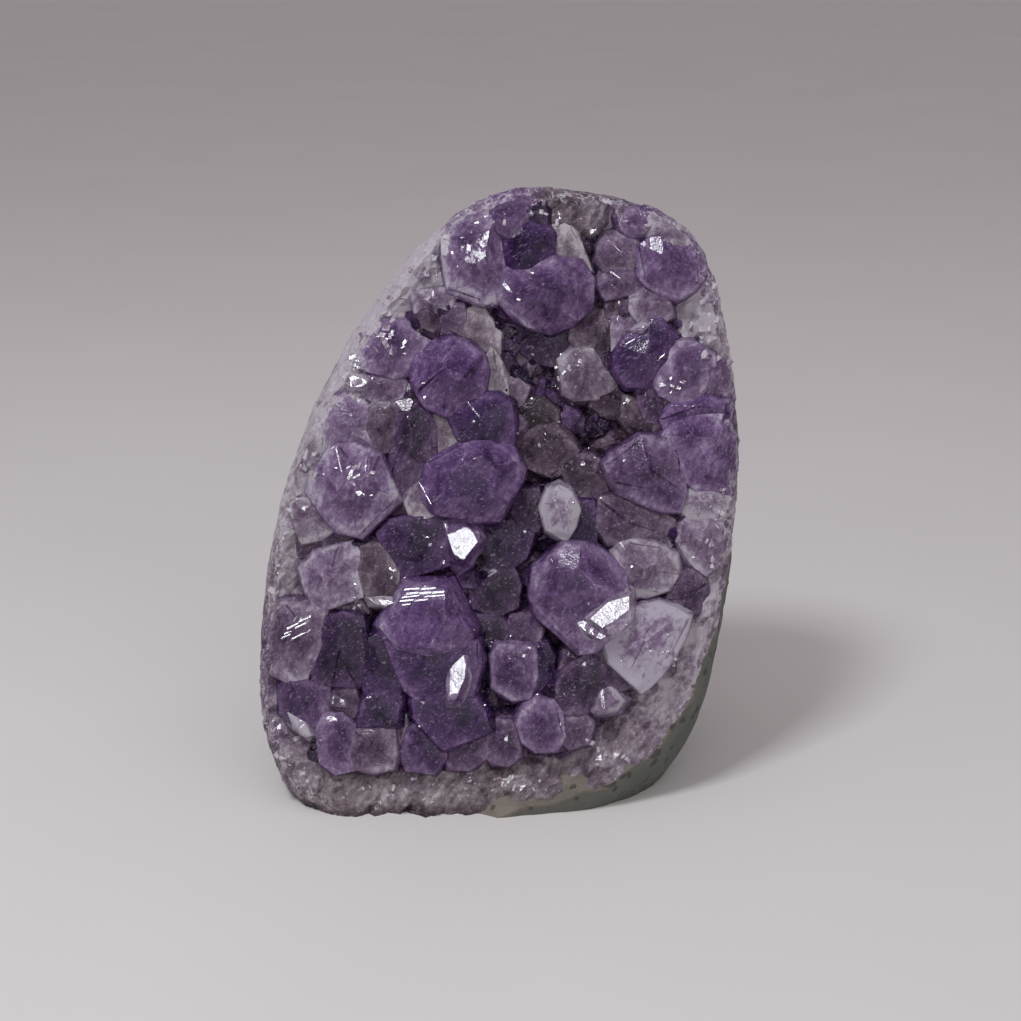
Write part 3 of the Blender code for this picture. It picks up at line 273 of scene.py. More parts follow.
# %% [markdown]
# What every quartz surface on this stone shares is put into one node group. Quartz is never one even
# colour: the roots and the outer edge of each crystal are pale, its heart is violet, and thin veils of
# tiny bubbles drift through it. The group takes three numbers that are stored in the mesh: how far in
# from its edge a point is, how deep the crystal's colour is, and whether it leans to violet or to a
# smoky grey. It puts out a colour, a roughness and a height for the bump.
# %% The group that colours quartz: its inputs and outputs
VIOLET = [(0.0, (0.57, 0.52, 0.66)), (0.22, (0.295, 0.192, 0.390)), (0.45, (0.148, 0.074, 0.215)),
          (0.70, (0.060, 0.023, 0.108)), (1.0, (0.013, 0.004, 0.032))]
SMOKE = [(0.0, (0.57, 0.52, 0.555)), (0.22, (0.30, 0.252, 0.280)), (0.45, (0.150, 0.110, 0.130)),
         (0.70, (0.062, 0.037, 0.052)), (1.0, (0.015, 0.007, 0.013))]

quartz_group, given, result = new_group(
    "quartz_colour_and_skin",
    [("Place", "Vector", None), ("Rim", "Float", 0.5), ("Tone", "Float", 0.5), ("Hue", "Float", 0.5),
     ("Crackle", "Float", 0.0), ("Etching", "Float", 0.5), ("Roughness", "Float", 0.12)],
    [("Colour", "Color"), ("Roughness", "Float"), ("Height", "Float")])
tree = quartz_group
place = given["Place"]
print("quartz group takes and gives:", [item.name for item in tree.interface.items_tree])

# %% [markdown]
# How deep the colour is at a point is a sum. It starts from the crystal's own tone and grows towards
# its heart. Clouds, fine specks and long streaks vary it both ways, and veils and edges make it paler.
# The sides down in the gaps are darkened as painted shade. Crushed quartz adds a mosaic of chips with a
# tone each. The sum is read in two colour ramps, one violet and one smoky, and the hue mixes the two.
# %% The group that colours quartz: its depth of colour
OWN_TONE = 0.80
PALEST_DEPTH = -0.03
CHIP_DEPTH = 0.34

clouds = cloud(tree, place, 0.20, 5.0, 0.62, 0.8)
fine = cloud(tree, place, 0.85, 4.0, 0.65, 0.4)
veil_noise = cloud(tree, place, 0.30, 3.0, 0.6, 1.8)
veil = spread(tree, maths(tree, "ABSOLUTE", centred(tree, veil_noise)), 0.035, 0.0)
long_place = add_node(tree, "ShaderNodeMapping", {"vector_type": "TEXTURE"}, _0=place,
                      Rotation=(0.3, 0.2, 0.5), Scale=(0.7, 0.75, 2.6))
streaks = cloud(tree, long_place, 1.1, 3.0, 0.6, 0.5)
heart = spread(tree, given["Rim"], 0.0, 1.0)
edge = maths(tree, "MULTIPLY", spread(tree, given["Rim"], 0.22, 0.0),
             spread(tree, given["Rim"], -0.12, 0.0))
edge = maths(tree, "ADD", edge, spread(tree, given["Rim"], 1.1, 2.0))
# Painted shade: the sides below a crystal's outline get a deeper colour the further down they go.
painted_gap_shade = spread(tree, given["Rim"], -0.1, -1.0)
bent = add_node(tree, "ShaderNodeVectorMath", {"operation": "SCALE"}, _0=cloud(tree, place, 0.8, 2.0),
                Scale=1.6)
bent = add_node(tree, "ShaderNodeVectorMath", {"operation": "ADD"}, _0=place, _1=bent)
chips = add_node(tree, "ShaderNodeTexVoronoi", {}, 1, _0=bent, Scale=0.85, Detail=2.0)
chip_tone = add_node(tree, "ShaderNodeSeparateColor", _0=chips)
chipped = maths(tree, "MULTIPLY", centred(tree, chip_tone), given["Crackle"])
depth = maths(tree, "MULTIPLY_ADD", given["Tone"], OWN_TONE, PALEST_DEPTH)
for part, share in ((heart, 0.20), (centred(tree, clouds), 1.15), (centred(tree, fine), 0.60),
                    (veil, -0.10), (centred(tree, streaks), 0.50), (edge, -0.10), (painted_gap_shade, 0.45)):
    depth = add_share(tree, depth, part, share)
depth = add_share(tree, depth, chipped, CHIP_DEPTH, clamp=True)
smoky, violet = colour_ramp(tree, depth, SMOKE), colour_ramp(tree, depth, VIOLET)
colour = mix_colour(tree, given["Hue"], smoky, violet)
print("depth of colour:", len(tree.nodes), "nodes")

# %% [markdown]
# On top of the colour come the marks: fine pale scratches that all run one way, which also serve as
# painted sheen, and pale crack lines where the quartz is crushed. The skin is nearly smooth, but clouds,
# streaks and chips show in it a little, and here and there small curled terraces, which crystals have
# where they were etched.
# %% The group that colours quartz: its scratches and painted sheen, cracks and skin
SCRATCH_AND_SHEEN = (0.52, 0.46, 0.58, 1)
SCRATCH_AND_SHEEN_SHARE = 0.38
CRACK = (0.70, 0.68, 0.71, 1)
CRACK_SHARE = 0.75
TERRACE = 0.07

scratch_and_sheen_place = add_node(tree, "ShaderNodeMapping", {"vector_type": "TEXTURE"}, _0=place,
                         Rotation=(0.9, -0.4, 1.1), Scale=(0.3, 0.32, 2.0))
scratches_and_sheen = spread(tree, cloud(tree, scratch_and_sheen_place, 0.9, 2.0, 0.6, 0.6), 0.58, 0.70)
# Pale scratch marks, which also stand for painted sheen, are mixed into the colour.
colour = mix_colour(tree, maths(tree, "MULTIPLY", scratches_and_sheen, SCRATCH_AND_SHEEN_SHARE), colour, SCRATCH_AND_SHEEN)
cracks = add_node(tree, "ShaderNodeTexVoronoi", {"feature": "DISTANCE_TO_EDGE"}, _0=place, Scale=0.9,
                  Detail=1.0)
broken = spread(tree, cloud(tree, place, 0.5, 2.0), 0.48, 0.60)
crack_line = maths(tree, "MULTIPLY", spread(tree, cracks, 0.10, 0.0), given["Crackle"])
crack_line = maths(tree, "MULTIPLY", crack_line, broken)
colour = mix_colour(tree, maths(tree, "MULTIPLY", crack_line, CRACK_SHARE), colour, CRACK)
tree.links.new(colour, result["Colour"])
terrace = maths(tree, "SNAP", cloud(tree, place, 0.55, 2.0, 0.5, 1.2), TERRACE)
where = spread(tree, cloud(tree, place, 0.16, 1.0), 0.50, 0.60)
etched = maths(tree, "MULTIPLY", maths(tree, "MULTIPLY", terrace, where), given["Etching"])
skin = maths(tree, "MULTIPLY", clouds, 0.5)
for part, share in ((cloud(tree, place, 2.6, 2.0, 0.5), 0.14), (streaks, 0.08),
                    (maths(tree, "MULTIPLY", chip_tone, given["Crackle"]), 1.5), (etched, 6.0)):
    skin = add_share(tree, skin, part, share)
tree.links.new(skin, result["Height"])
rough = add_share(tree, given["Roughness"], centred(tree, fine), 0.30)
rough = add_share(tree, rough, given["Crackle"], 0.18, clamp=True)
tree.links.new(rough, result["Roughness"])
print("quartz group:", len(tree.nodes), "nodes")

# %% [markdown]
# Amethyst lets some light in and swallows the green part of it. That is done plainly on the shader:
# part of the light is transmitted, the index of refraction is quartz's own 1.54, and a Volume
# Absorption deepens the colour with thickness. The rest of the light meets the milky veils and comes
# back from the colour group above. A crystal's own numbers come from attributes in the mesh.
# %% The amethyst material
QUARTZ_IOR = 1.54
SKIN_RELIEF = 0.35 * MM
LEFT_AFTER_ABSORPTION = (0.50, 0.16, 0.66, 1)
ABSORPTION_DENSITY = 120.0


def quartz_material(name, crackle, etching, roughness, transmission):
    material, tree, shader = new_material(
        name, Transmission_Weight=transmission, IOR=QUARTZ_IOR, Specular_IOR_Level=0.26)
    spot = add_node(tree, "ShaderNodeTexCoord", None, "Object")
    spot = add_node(tree, "ShaderNodeVectorMath", {"operation": "SCALE"}, _0=spot, Scale=1 / MM)
    numbers = add_node(tree, "ShaderNodeAttribute", {"attribute_name": "tint"}, "Vector")
    tone = add_node(tree, "ShaderNodeSeparateXYZ", _0=numbers)
    _, hue, shift = tone.node.outputs
    rim = add_node(tree, "ShaderNodeAttribute", {"attribute_name": "rim"}, "Fac")
    own = add_node(tree, "ShaderNodeCombineXYZ", X=shift, Y=shift, Z=shift)
    spot = add_node(tree, "ShaderNodeVectorMath", {"operation": "ADD"}, _0=spot, _1=own)
    look = use_group(tree, quartz_group, Place=spot, Rim=rim, Tone=tone, Hue=hue, Crackle=crackle,
                     Etching=etching, Roughness=roughness)
    tree.links.new(look["Colour"], shader.inputs["Base Color"])
    tree.links.new(look["Roughness"], shader.inputs["Roughness"])
    relief = add_node(tree, "ShaderNodeBump", Strength=0.5, Distance=SKIN_RELIEF, Height=look["Height"])
    tree.links.new(relief, shader.inputs["Normal"])
    swallow = add_node(tree, "ShaderNodeVolumeAbsorption", Color=LEFT_AFTER_ABSORPTION,
                       Density=ABSORPTION_DENSITY)
    tree.links.new(swallow, tree.nodes["Material Output"].inputs["Volume"])
    return material


amethyst = quartz_material("amethyst", 0.0, 0.6, 0.12, 0.30)
pale_quartz = quartz_material("pale_quartz", 1.0, 0.0, 0.28, 0.15)
small_amethyst = quartz_material("small_amethyst", 0.0, 0.0, 0.10, 0.30)
print("quartz materials:", [made.name for made in (amethyst, pale_quartz, small_amethyst)])

# %% [markdown]
# The rock rind is basalt that weathered to a dull grey green where the quartz had sealed it, with a
# thin tan line right behind the quartz. It is matt, lumpy and pitted with the small round holes of
# old gas bubbles, whose insides are painted nearly black as shade. A number stored in the mesh says
# how far behind the quartz each point lies, so the tan line follows the join all the way round.
# %% The rock material
STAIN_REACH = 12.0
HOLE_PAINTED_SHADE = (0.02, 0.022, 0.02, 1)

rock_rind, tree, shader = new_material("rock_rind", IOR=1.5, Specular_IOR_Level=0.3)
spot = add_node(tree, "ShaderNodeTexCoord", None, "Object")
spot = add_node(tree, "ShaderNodeVectorMath", {"operation": "SCALE"}, _0=spot, Scale=1 / MM)
behind = add_node(tree, "ShaderNodeAttribute", {"attribute_name": "behind_quartz"}, "Fac")
drift = add_share(tree, behind, centred(tree, cloud(tree, spot, 0.25, 3.0)), 2.4)
stain = colour_ramp(tree, maths(tree, "DIVIDE", drift, STAIN_REACH), [
    (0.0, (0.22, 0.19, 0.165)), (0.05, (0.19, 0.165, 0.14)), (0.10, (0.12, 0.118, 0.10)),
    (0.20, (0.120, 0.130, 0.115)), (0.45, (0.085, 0.098, 0.088)), (1.0, (0.070, 0.076, 0.070))])
blotch = cloud(tree, spot, 0.12, 5.0, 0.65)
stain = mix_colour(tree, spread(tree, blotch, 0.42, 0.72, 0.0, 0.5), stain, (0.13, 0.12, 0.10, 1))
grain = cloud(tree, spot, 1.6, 4.0, 0.7)
stain = mix_colour(tree, spread(tree, grain, 0.35, 0.75, 0.0, 0.35), stain, (0.17, 0.17, 0.155, 1))
holes = add_node(tree, "ShaderNodeTexVoronoi", _0=spot, Scale=0.42, Randomness=1.0)
hole_size = spread(tree, cloud(tree, spot, 0.3, 2.0), 0.35, 0.7, 0.06, 0.42)
hole = maths(tree, "MULTIPLY", maths(tree, "SUBTRACT", hole_size, holes), 12.0, clamp=True)
# Painted shade: the inside of each hole is darkened towards black.
stain = mix_colour(tree, maths(tree, "MULTIPLY", hole, 0.6), stain, HOLE_PAINTED_SHADE)
tree.links.new(stain, shader.inputs["Base Color"])
tree.links.new(spread(tree, grain, 0.3, 0.8, 0.55, 0.85), shader.inputs["Roughness"])
lumps = maths(tree, "MULTIPLY", hole, -0.5)
for part, share in ((cloud(tree, spot, 0.5, 5.0, 0.6), 1.2), (grain, 0.35)):
    lumps = add_share(tree, lumps, part, share)
tree.links.new(add_node(tree, "ShaderNodeBump", Strength=0.7, Distance=0.6 * MM, Height=lumps),
               shader.inputs["Normal"])
print("rock material:", len(tree.nodes), "nodes")

# %% [markdown]
# The stone's outside was broken out, then ground smooth round the front edge, so it is one rounded
# solid. It could be sculpted, but a cage of a few rings that a Subdivision Surface smooths is easier
# to steer: each ring is the outline, drawn smaller and further back.
# %% The whole stone's rounded outside
# The widest outline on the face (u, v) and how far in from it the rounded front edge starts, in mm
OUTLINE = [
    (35.4, 51.0, 1.6), (34.8, 64.0, 1.6), (32.4, 76.5, 2.0), (28.0, 88.0, 2.5), (15.0, 91.4, 2.5),
    (1.5, 93.6, 3.0), (-10.0, 87.0, 4.0), (-19.6, 75.0, 4.0), (-27.4, 62.0, 4.0), (-32.6, 48.5, 3.5),
    (-35.8, 33.0, 3.0), (-36.8, 17.0, 3.0), (-34.0, 2.0, 4.0), (-22.0, -8.0, 6.0), (-2.0, -8.5, 8.5),
    (17.0, -5.0, 12.0), (29.5, 7.5, 10.5), (33.0, 24.0, 6.0), (34.8, 38.0, 2.6),
]
FRONT_EDGE_HEIGHT = 2.2
FRONT_BULGE = 2.2
WIDEST_HEIGHT = -9.0
BACK_DEPTH = 49.5
BACK_TAPER = 0.27
BACK_BULGE = -1.5
# Each ring behind the widest one: its size beside the outline and its share of the depth
BACK_RINGS = [(0.985, 0.46), (0.90, 0.74), (0.66, 0.95)]


def blend_points(points, u, v):
    """The value at (u, v) blended from scattered points (u, v, value), the nearest counting most."""
    total = weights = 0.0
    for point in points:
        weight = 1.0 / ((u - point[0]) ** 2 + (v - point[1]) ** 2 + 4.0) ** 2
        total += weight * point[2]
        weights += weight
    return total / weights


def inset_from_outline(u, v):
    """How far inside the stone's outline (u, v) lies."""
    insets = []
    for (u0, v0, _), (u1, v1, _) in zip(OUTLINE, OUTLINE[1:] + OUTLINE[:1]):
        along = Vector((u1 - u0, v1 - v0)).normalized()
        insets.append((u - u0) * -along.y + (v - v0) * along.x)
    return min(insets)


def stone_cage():
    middle = Vector((*STONE_MIDDLE, 0.0))
    rings = [[], []]
    for u, v, inset in OUTLINE:
        edge = Vector((u, v, 0.0))
        inward = (middle - edge).normalized() * inset
        rings[0].append(edge + inward + Vector((0, 0, FRONT_EDGE_HEIGHT)))
        rings[1].append(edge + Vector((0, 0, WIDEST_HEIGHT)))
    for size, depth in BACK_RINGS:
        ring = [middle.lerp(Vector((u, v, 0.0)), size) for u, v, _ in OUTLINE]
        for point in ring:
            edge_v = (point.y - middle.y) / size + middle.y
            point.z = -depth * (BACK_DEPTH - BACK_TAPER * edge_v)
        rings.append(ring)
    bm = bmesh.new()
    loops = [[bm.verts.new(point) for point in ring] for ring in rings]
    for near, far in zip(loops, loops[1:]):
        for i in range(len(near)):
            j = (i + 1) % len(near)
            bm.faces.new((near[i], near[j], far[j], far[i]))
    for loop, bulge in ((loops[0], FRONT_BULGE), (loops[-1], BACK_BULGE)):
        centre = sum((vert.co for vert in loop), Vector()) / len(loop)
        crown = bm.verts.new(centre + Vector((0, 0, bulge)))
        for i in range(len(loop)):
            bm.faces.new((loop[i], loop[(i + 1) % len(loop)], crown))
    return object_from(bm, "stone_cage")


# %% [markdown]
# A smoothed cage is as even as soap, so each of its points is moved a little. The ground edge gets
# small flat facets, as quartz has where it was knocked and ground, and the natural back gets larger
# facets and lumps. Both come from noise, whose values are fixed for a place and need no seed.
# %% The skin of the stone's outside
BACK_SKIN_RELIEF = 1.5 * MM
RIM_RELIEF = 0.25 * MM
BACK_STARTS = 0.3
BACK_FADE = 0.4
FACETS_END = 12.0
ASIDE = Vector((9, 0, 0))


def broken_facets(place, size):
    """A flat tilt for each cell of a random mosaic, as in quartz that has been knocked and ground."""
    near = noise.voronoi(place / size)[1][0]
    tilt = noise.cell_vector(near * 7.3) - Vector((0.5, 0.5, 0.5))
    return (place / size - near).dot(tilt)


def stone_outside(levels):
    cage = stone_cage()
    rounded = cage.modifiers.new("rounded", "SUBSURF")
    rounded.levels = rounded.render_levels = levels
    body = plain_mesh(cage, "stone_outside")
    moves = []
    for vert in body.data.vertices:
        at = TO_FACE @ vert.co
        backness = held((-at.z / BACK_DEPTH - BACK_STARTS) / BACK_FADE)
        relief = RIM_RELIEF + (BACK_SKIN_RELIEF - RIM_RELIEF) * backness
        lump = noise.fractal(vert.co * 95.0, 0.8, 2.0, 4)
        fine_lump = noise.fractal(vert.co * 520.0, 0.9, 2.0, 3) * 0.22 * (0.3 + backness)
        outer = held(1.4 - inset_from_outline(at.x, at.y) / 5.0, 0.15)
        front = max(0.0, 1 + at.z / FACETS_END) * outer
        coarse, small = broken_facets(at, 3.4) * 1.4, broken_facets(at + ASIDE, 1.7) * 1.1
        facet = (coarse + small - 0.3) * front
        facet += (broken_facets(at, 8.0) * 1.6 + broken_facets(at, 3.6) * 0.8) * backness
        moves.append(vert.normal * (relief * (lump + fine_lump) + facet * MM))
    for vert, move in zip(body.data.vertices, moves):
        vert.co += move
    return body


whole_stone = stone_outside(5)
print("stone outside:", len(whole_stone.data.polygons), "faces")

# %% [markdown]
# Ground quartz keeps the colour of what was cut through: violet where a crystal was sliced, white
# where the quartz is crazed, brown at the top, tan near the rock. These are soft patches, so they come
# from a few points round the rim with a tone and a hue each, blended in between, and are stored in the
# mesh as the same tint that the crystals have. Points further in make the floor between the crystals
# deep, as painted shade in the gaps, and quartz by the table is darkened as painted shade too.
# %% Tints of the ground rim and of the floor between the crystals, with painted shade in the gaps
# Each row: u, v, tone (0 pale to 1 deep), hue (0 smoky to 1 violet)
# The points from (-12, 12) on lie between the crystals, and their deep tones are painted shade in the gaps
GROUND_TINTS_AND_GAP_SHADE = [
    (-6, 89, 0.15, 0.5), (2, 92, 0.30, 0.75), (9, 90, 0.42, 0.10), (11, 84, 0.45, 0.05),
    (16, 88, 0.32, 0.25), (20, 90, 0.40, 0.8), (26, 86, 0.08, 0.4), (28, 81, 0.35, 0.8),
    (29, 74, -0.12, 0.35), (33, 68, -0.08, 0.3), (33, 58, 0.30, 0.6), (34, 50, 0.25, 0.6),
    (32, 44, 0.08, 0.4), (33, 34, 0.06, 0.4), (30, 25, 0.06, 0.3), (25, 17, 0.14, 0.2),
    (17, 9, 0.30, 0.15), (8, 7, 0.42, 0.1), (0, 5, 0.38, 0.0), (-8, 4, 0.28, 0.0), (-16, 4, 0.26, 0.0),
    (-24, 5, 0.36, 0.0), (-30, 8, 0.32, 0.15), (-34, 14, 0.26, 0.4), (-35, 24, 0.42, 0.5),
    (-34, 34, 0.14, 0.2), (-33, 44, -0.08, 0.2), (-31, 52, -0.12, 0.25), (-27, 60, -0.16, 0.3),
    (-22, 67, -0.20, 0.35), (-17, 74, -0.5, 0.35), (-11, 81, -0.42, 0.35), (-12, 12, 0.7, 0.5),
    (0, 20, 1.0, 0.5), (0, 40, 1.05, 0.5), (6, 60, 1.05, 0.3), (-14, 50, 0.9, 0.5), (18, 54, 1.1, 0.3),
    (16, 76, 0.75, 0.3), (-2, 74, 0.8, 0.1), (-22, 32, 0.9, 0.4), (20, 40, 0.75, 0.4),
    (-13, 17, 1.1, 0.2), (1, 16.5, 1.1, 0.2), (3.5, 34, 1.1, 0.2), (3, 45, 1.1, 0.2),
    (15, 55, 1.1, 0.1), (9, 35, 1.0, 0.5),
]
TONE_AND_GAP_SHADE_POINTS = [(u, v, tone) for u, v, tone, _ in GROUND_TINTS_AND_GAP_SHADE]
HUE_POINTS = [(u, v, hue) for u, v, _, hue in GROUND_TINTS_AND_GAP_SHADE]
# Quartz that nearly touches the table gets a painted shade, up to this height
TABLE_LINE = 1.6 * MM
TABLE_PAINTED_SHADE = 0.6
GROUND_RIM = 0.35


def paint_ground(mesh):
    """Stores the tint, with painted shade by the table, and the rim number of ground quartz on every corner
    of a mesh.
    """
    by_vertex = []
    for vert in mesh.vertices:
        at = TO_FACE @ vert.co
        # Painted shade: quartz just above the table is given a deeper tone.
        painted_table_shade = held(1.0 - vert.co.z / TABLE_LINE) if vert.co.z > -2 * MM else 0.0
        tone = blend_points(TONE_AND_GAP_SHADE_POINTS, at.x, at.y) + painted_table_shade * TABLE_PAINTED_SHADE
        by_vertex.append((tone, blend_points(HUE_POINTS, at.x, at.y), 0.0))
    tints = [value for loop in mesh.loops for value in by_vertex[loop.vertex_index]]
    tint = mesh.attributes.new("tint", "FLOAT_VECTOR", "CORNER")
    tint.data.foreach_set("vector", tints)
    rim = mesh.attributes.new("rim", "FLOAT", "CORNER")
    rim.data.foreach_set("value", [GROUND_RIM] * len(mesh.loops))


paint_ground(whole_stone.data)
whole_stone.data.materials.append(pale_quartz)
print("ground tints blended from", len(GROUND_TINTS_AND_GAP_SHADE), "points")

# %% [markdown]
# Between the crystals lies the layer of quartz that they grew from. It is lowest in a gully down the
# middle and rises to the ground rim. It is a grid of heights pushed out of the face, with each cell
# of a random mosaic tilted its own way, so that it looks like broken quartz and not like sand.
# %% The quartz layer between the crystals
DRUSE_FLOOR = -5.2
DRUSE_RELIEF = 0.8
GULLY_DEPTH = 3.4
RIM_RISE = 3.1
FOOT_RISE = 2.3
FOOT_TOP = 12.0
FOOT_FADE = 8.0
RIM_WANDER = 1.6
# How wide the ground rim is: u, v, width
RIM_WIDTHS = [
    (-20.0, 0.0, 19.0), (0.0, 0.0, 19.0), (16.0, 4.0, 17.0), (28.0, 18.0, 11.0), (33.0, 40.0, 8.0),
    (34.0, 58.0, 6.0), (31.0, 73.0, 12.0), (29.5, 82.0, 5.0), (20.0, 88.0, 5.0), (10.0, 90.0, 15.0),
    (-3.0, 90.0, 3.0), (-9.0, 86.0, 5.0), (-14.0, 79.0, 14.0), (-25.0, 64.0, 13.0), (-33.0, 42.0, 14.0),
    (-35.0, 24.0, 8.0),
]
FACE_SIZE = (110.0, 130.0)
BIG = 200.0
# Outside these limits, well clear of the stone, a block is simply flat
LEVEL_U = 48.0
LEVEL_V = (-12.0, 102.0)
FLAT_LEVEL = -10.0


def smooth_bump(distance, reach):
    """1 at distance 0, falling smoothly to 0 at the reach."""
    share = min(1.0, abs(distance) / reach)
    return (1 - share * share) ** 2


def gully(u, v):
    middle = 6.0 + 5.0 * math.sin((v - 20.0) / 22.0)
    return smooth_bump(u - middle, 13.0) * smooth_bump(v - 46.0, 40.0)


def druse_floor(u, v):
    """Height of the quartz layer's front at (u, v)."""
    rough = noise.fractal(Vector((u, v, 0.0)) * 0.16, 0.9, 2.0, 3)
    wander = RIM_WANDER * noise.noise(Vector((u, v, 3.0)) * 0.2)
    rim = max(0.0, 1.0 - (inset_from_outline(u, v) + wander) / blend_points(RIM_WIDTHS, u, v))
    facets = broken_facets(Vector((u, v, 0.0)), 2.6) * 2.4
    facets_and_chips = facets + broken_facets(Vector((u, v, 9.0)), 1.1) * 0.9
    rise = RIM_RISE + FOOT_RISE * held((FOOT_TOP - v) / FOOT_FADE)
    return DRUSE_FLOOR - GULLY_DEPTH * gully(u, v) + DRUSE_RELIEF * rough + rise * rim + facets_and_chips


def block_behind(name, level, cells, slots):
    """A block that fills everything behind a height given over the face."""
    across, up = cells
    bm = bmesh.new()
    bmesh.ops.create_grid(bm, x_segments=across, y_segments=up, size=0.5)
    for vert in bm.verts:
        u = vert.co.x * FACE_SIZE[0]
        v = vert.co.y * FACE_SIZE[1] + STONE_MIDDLE[1]
        near = abs(u) < LEVEL_U and LEVEL_V[0] < v < LEVEL_V[1]
        vert.co = Vector((u, v, level(u, v) if near else FLAT_LEVEL))
    bmesh.ops.triangulate(bm, faces=bm.faces[:], quad_method="FIXED")
    extruded = bmesh.ops.extrude_face_region(bm, geom=bm.faces[:])
    for item in extruded["geom"]:
        if isinstance(item, bmesh.types.BMVert):
            item.co.z = -BIG
    return object_from(bm, name, slots=slots)


quartz_layer = block_behind("quartz_layer", druse_floor, (120, 142), [amethyst, pale_quartz])
paint_ground(quartz_layer.data)
print("quartz layer:", len(quartz_layer.data.polygons), "faces")
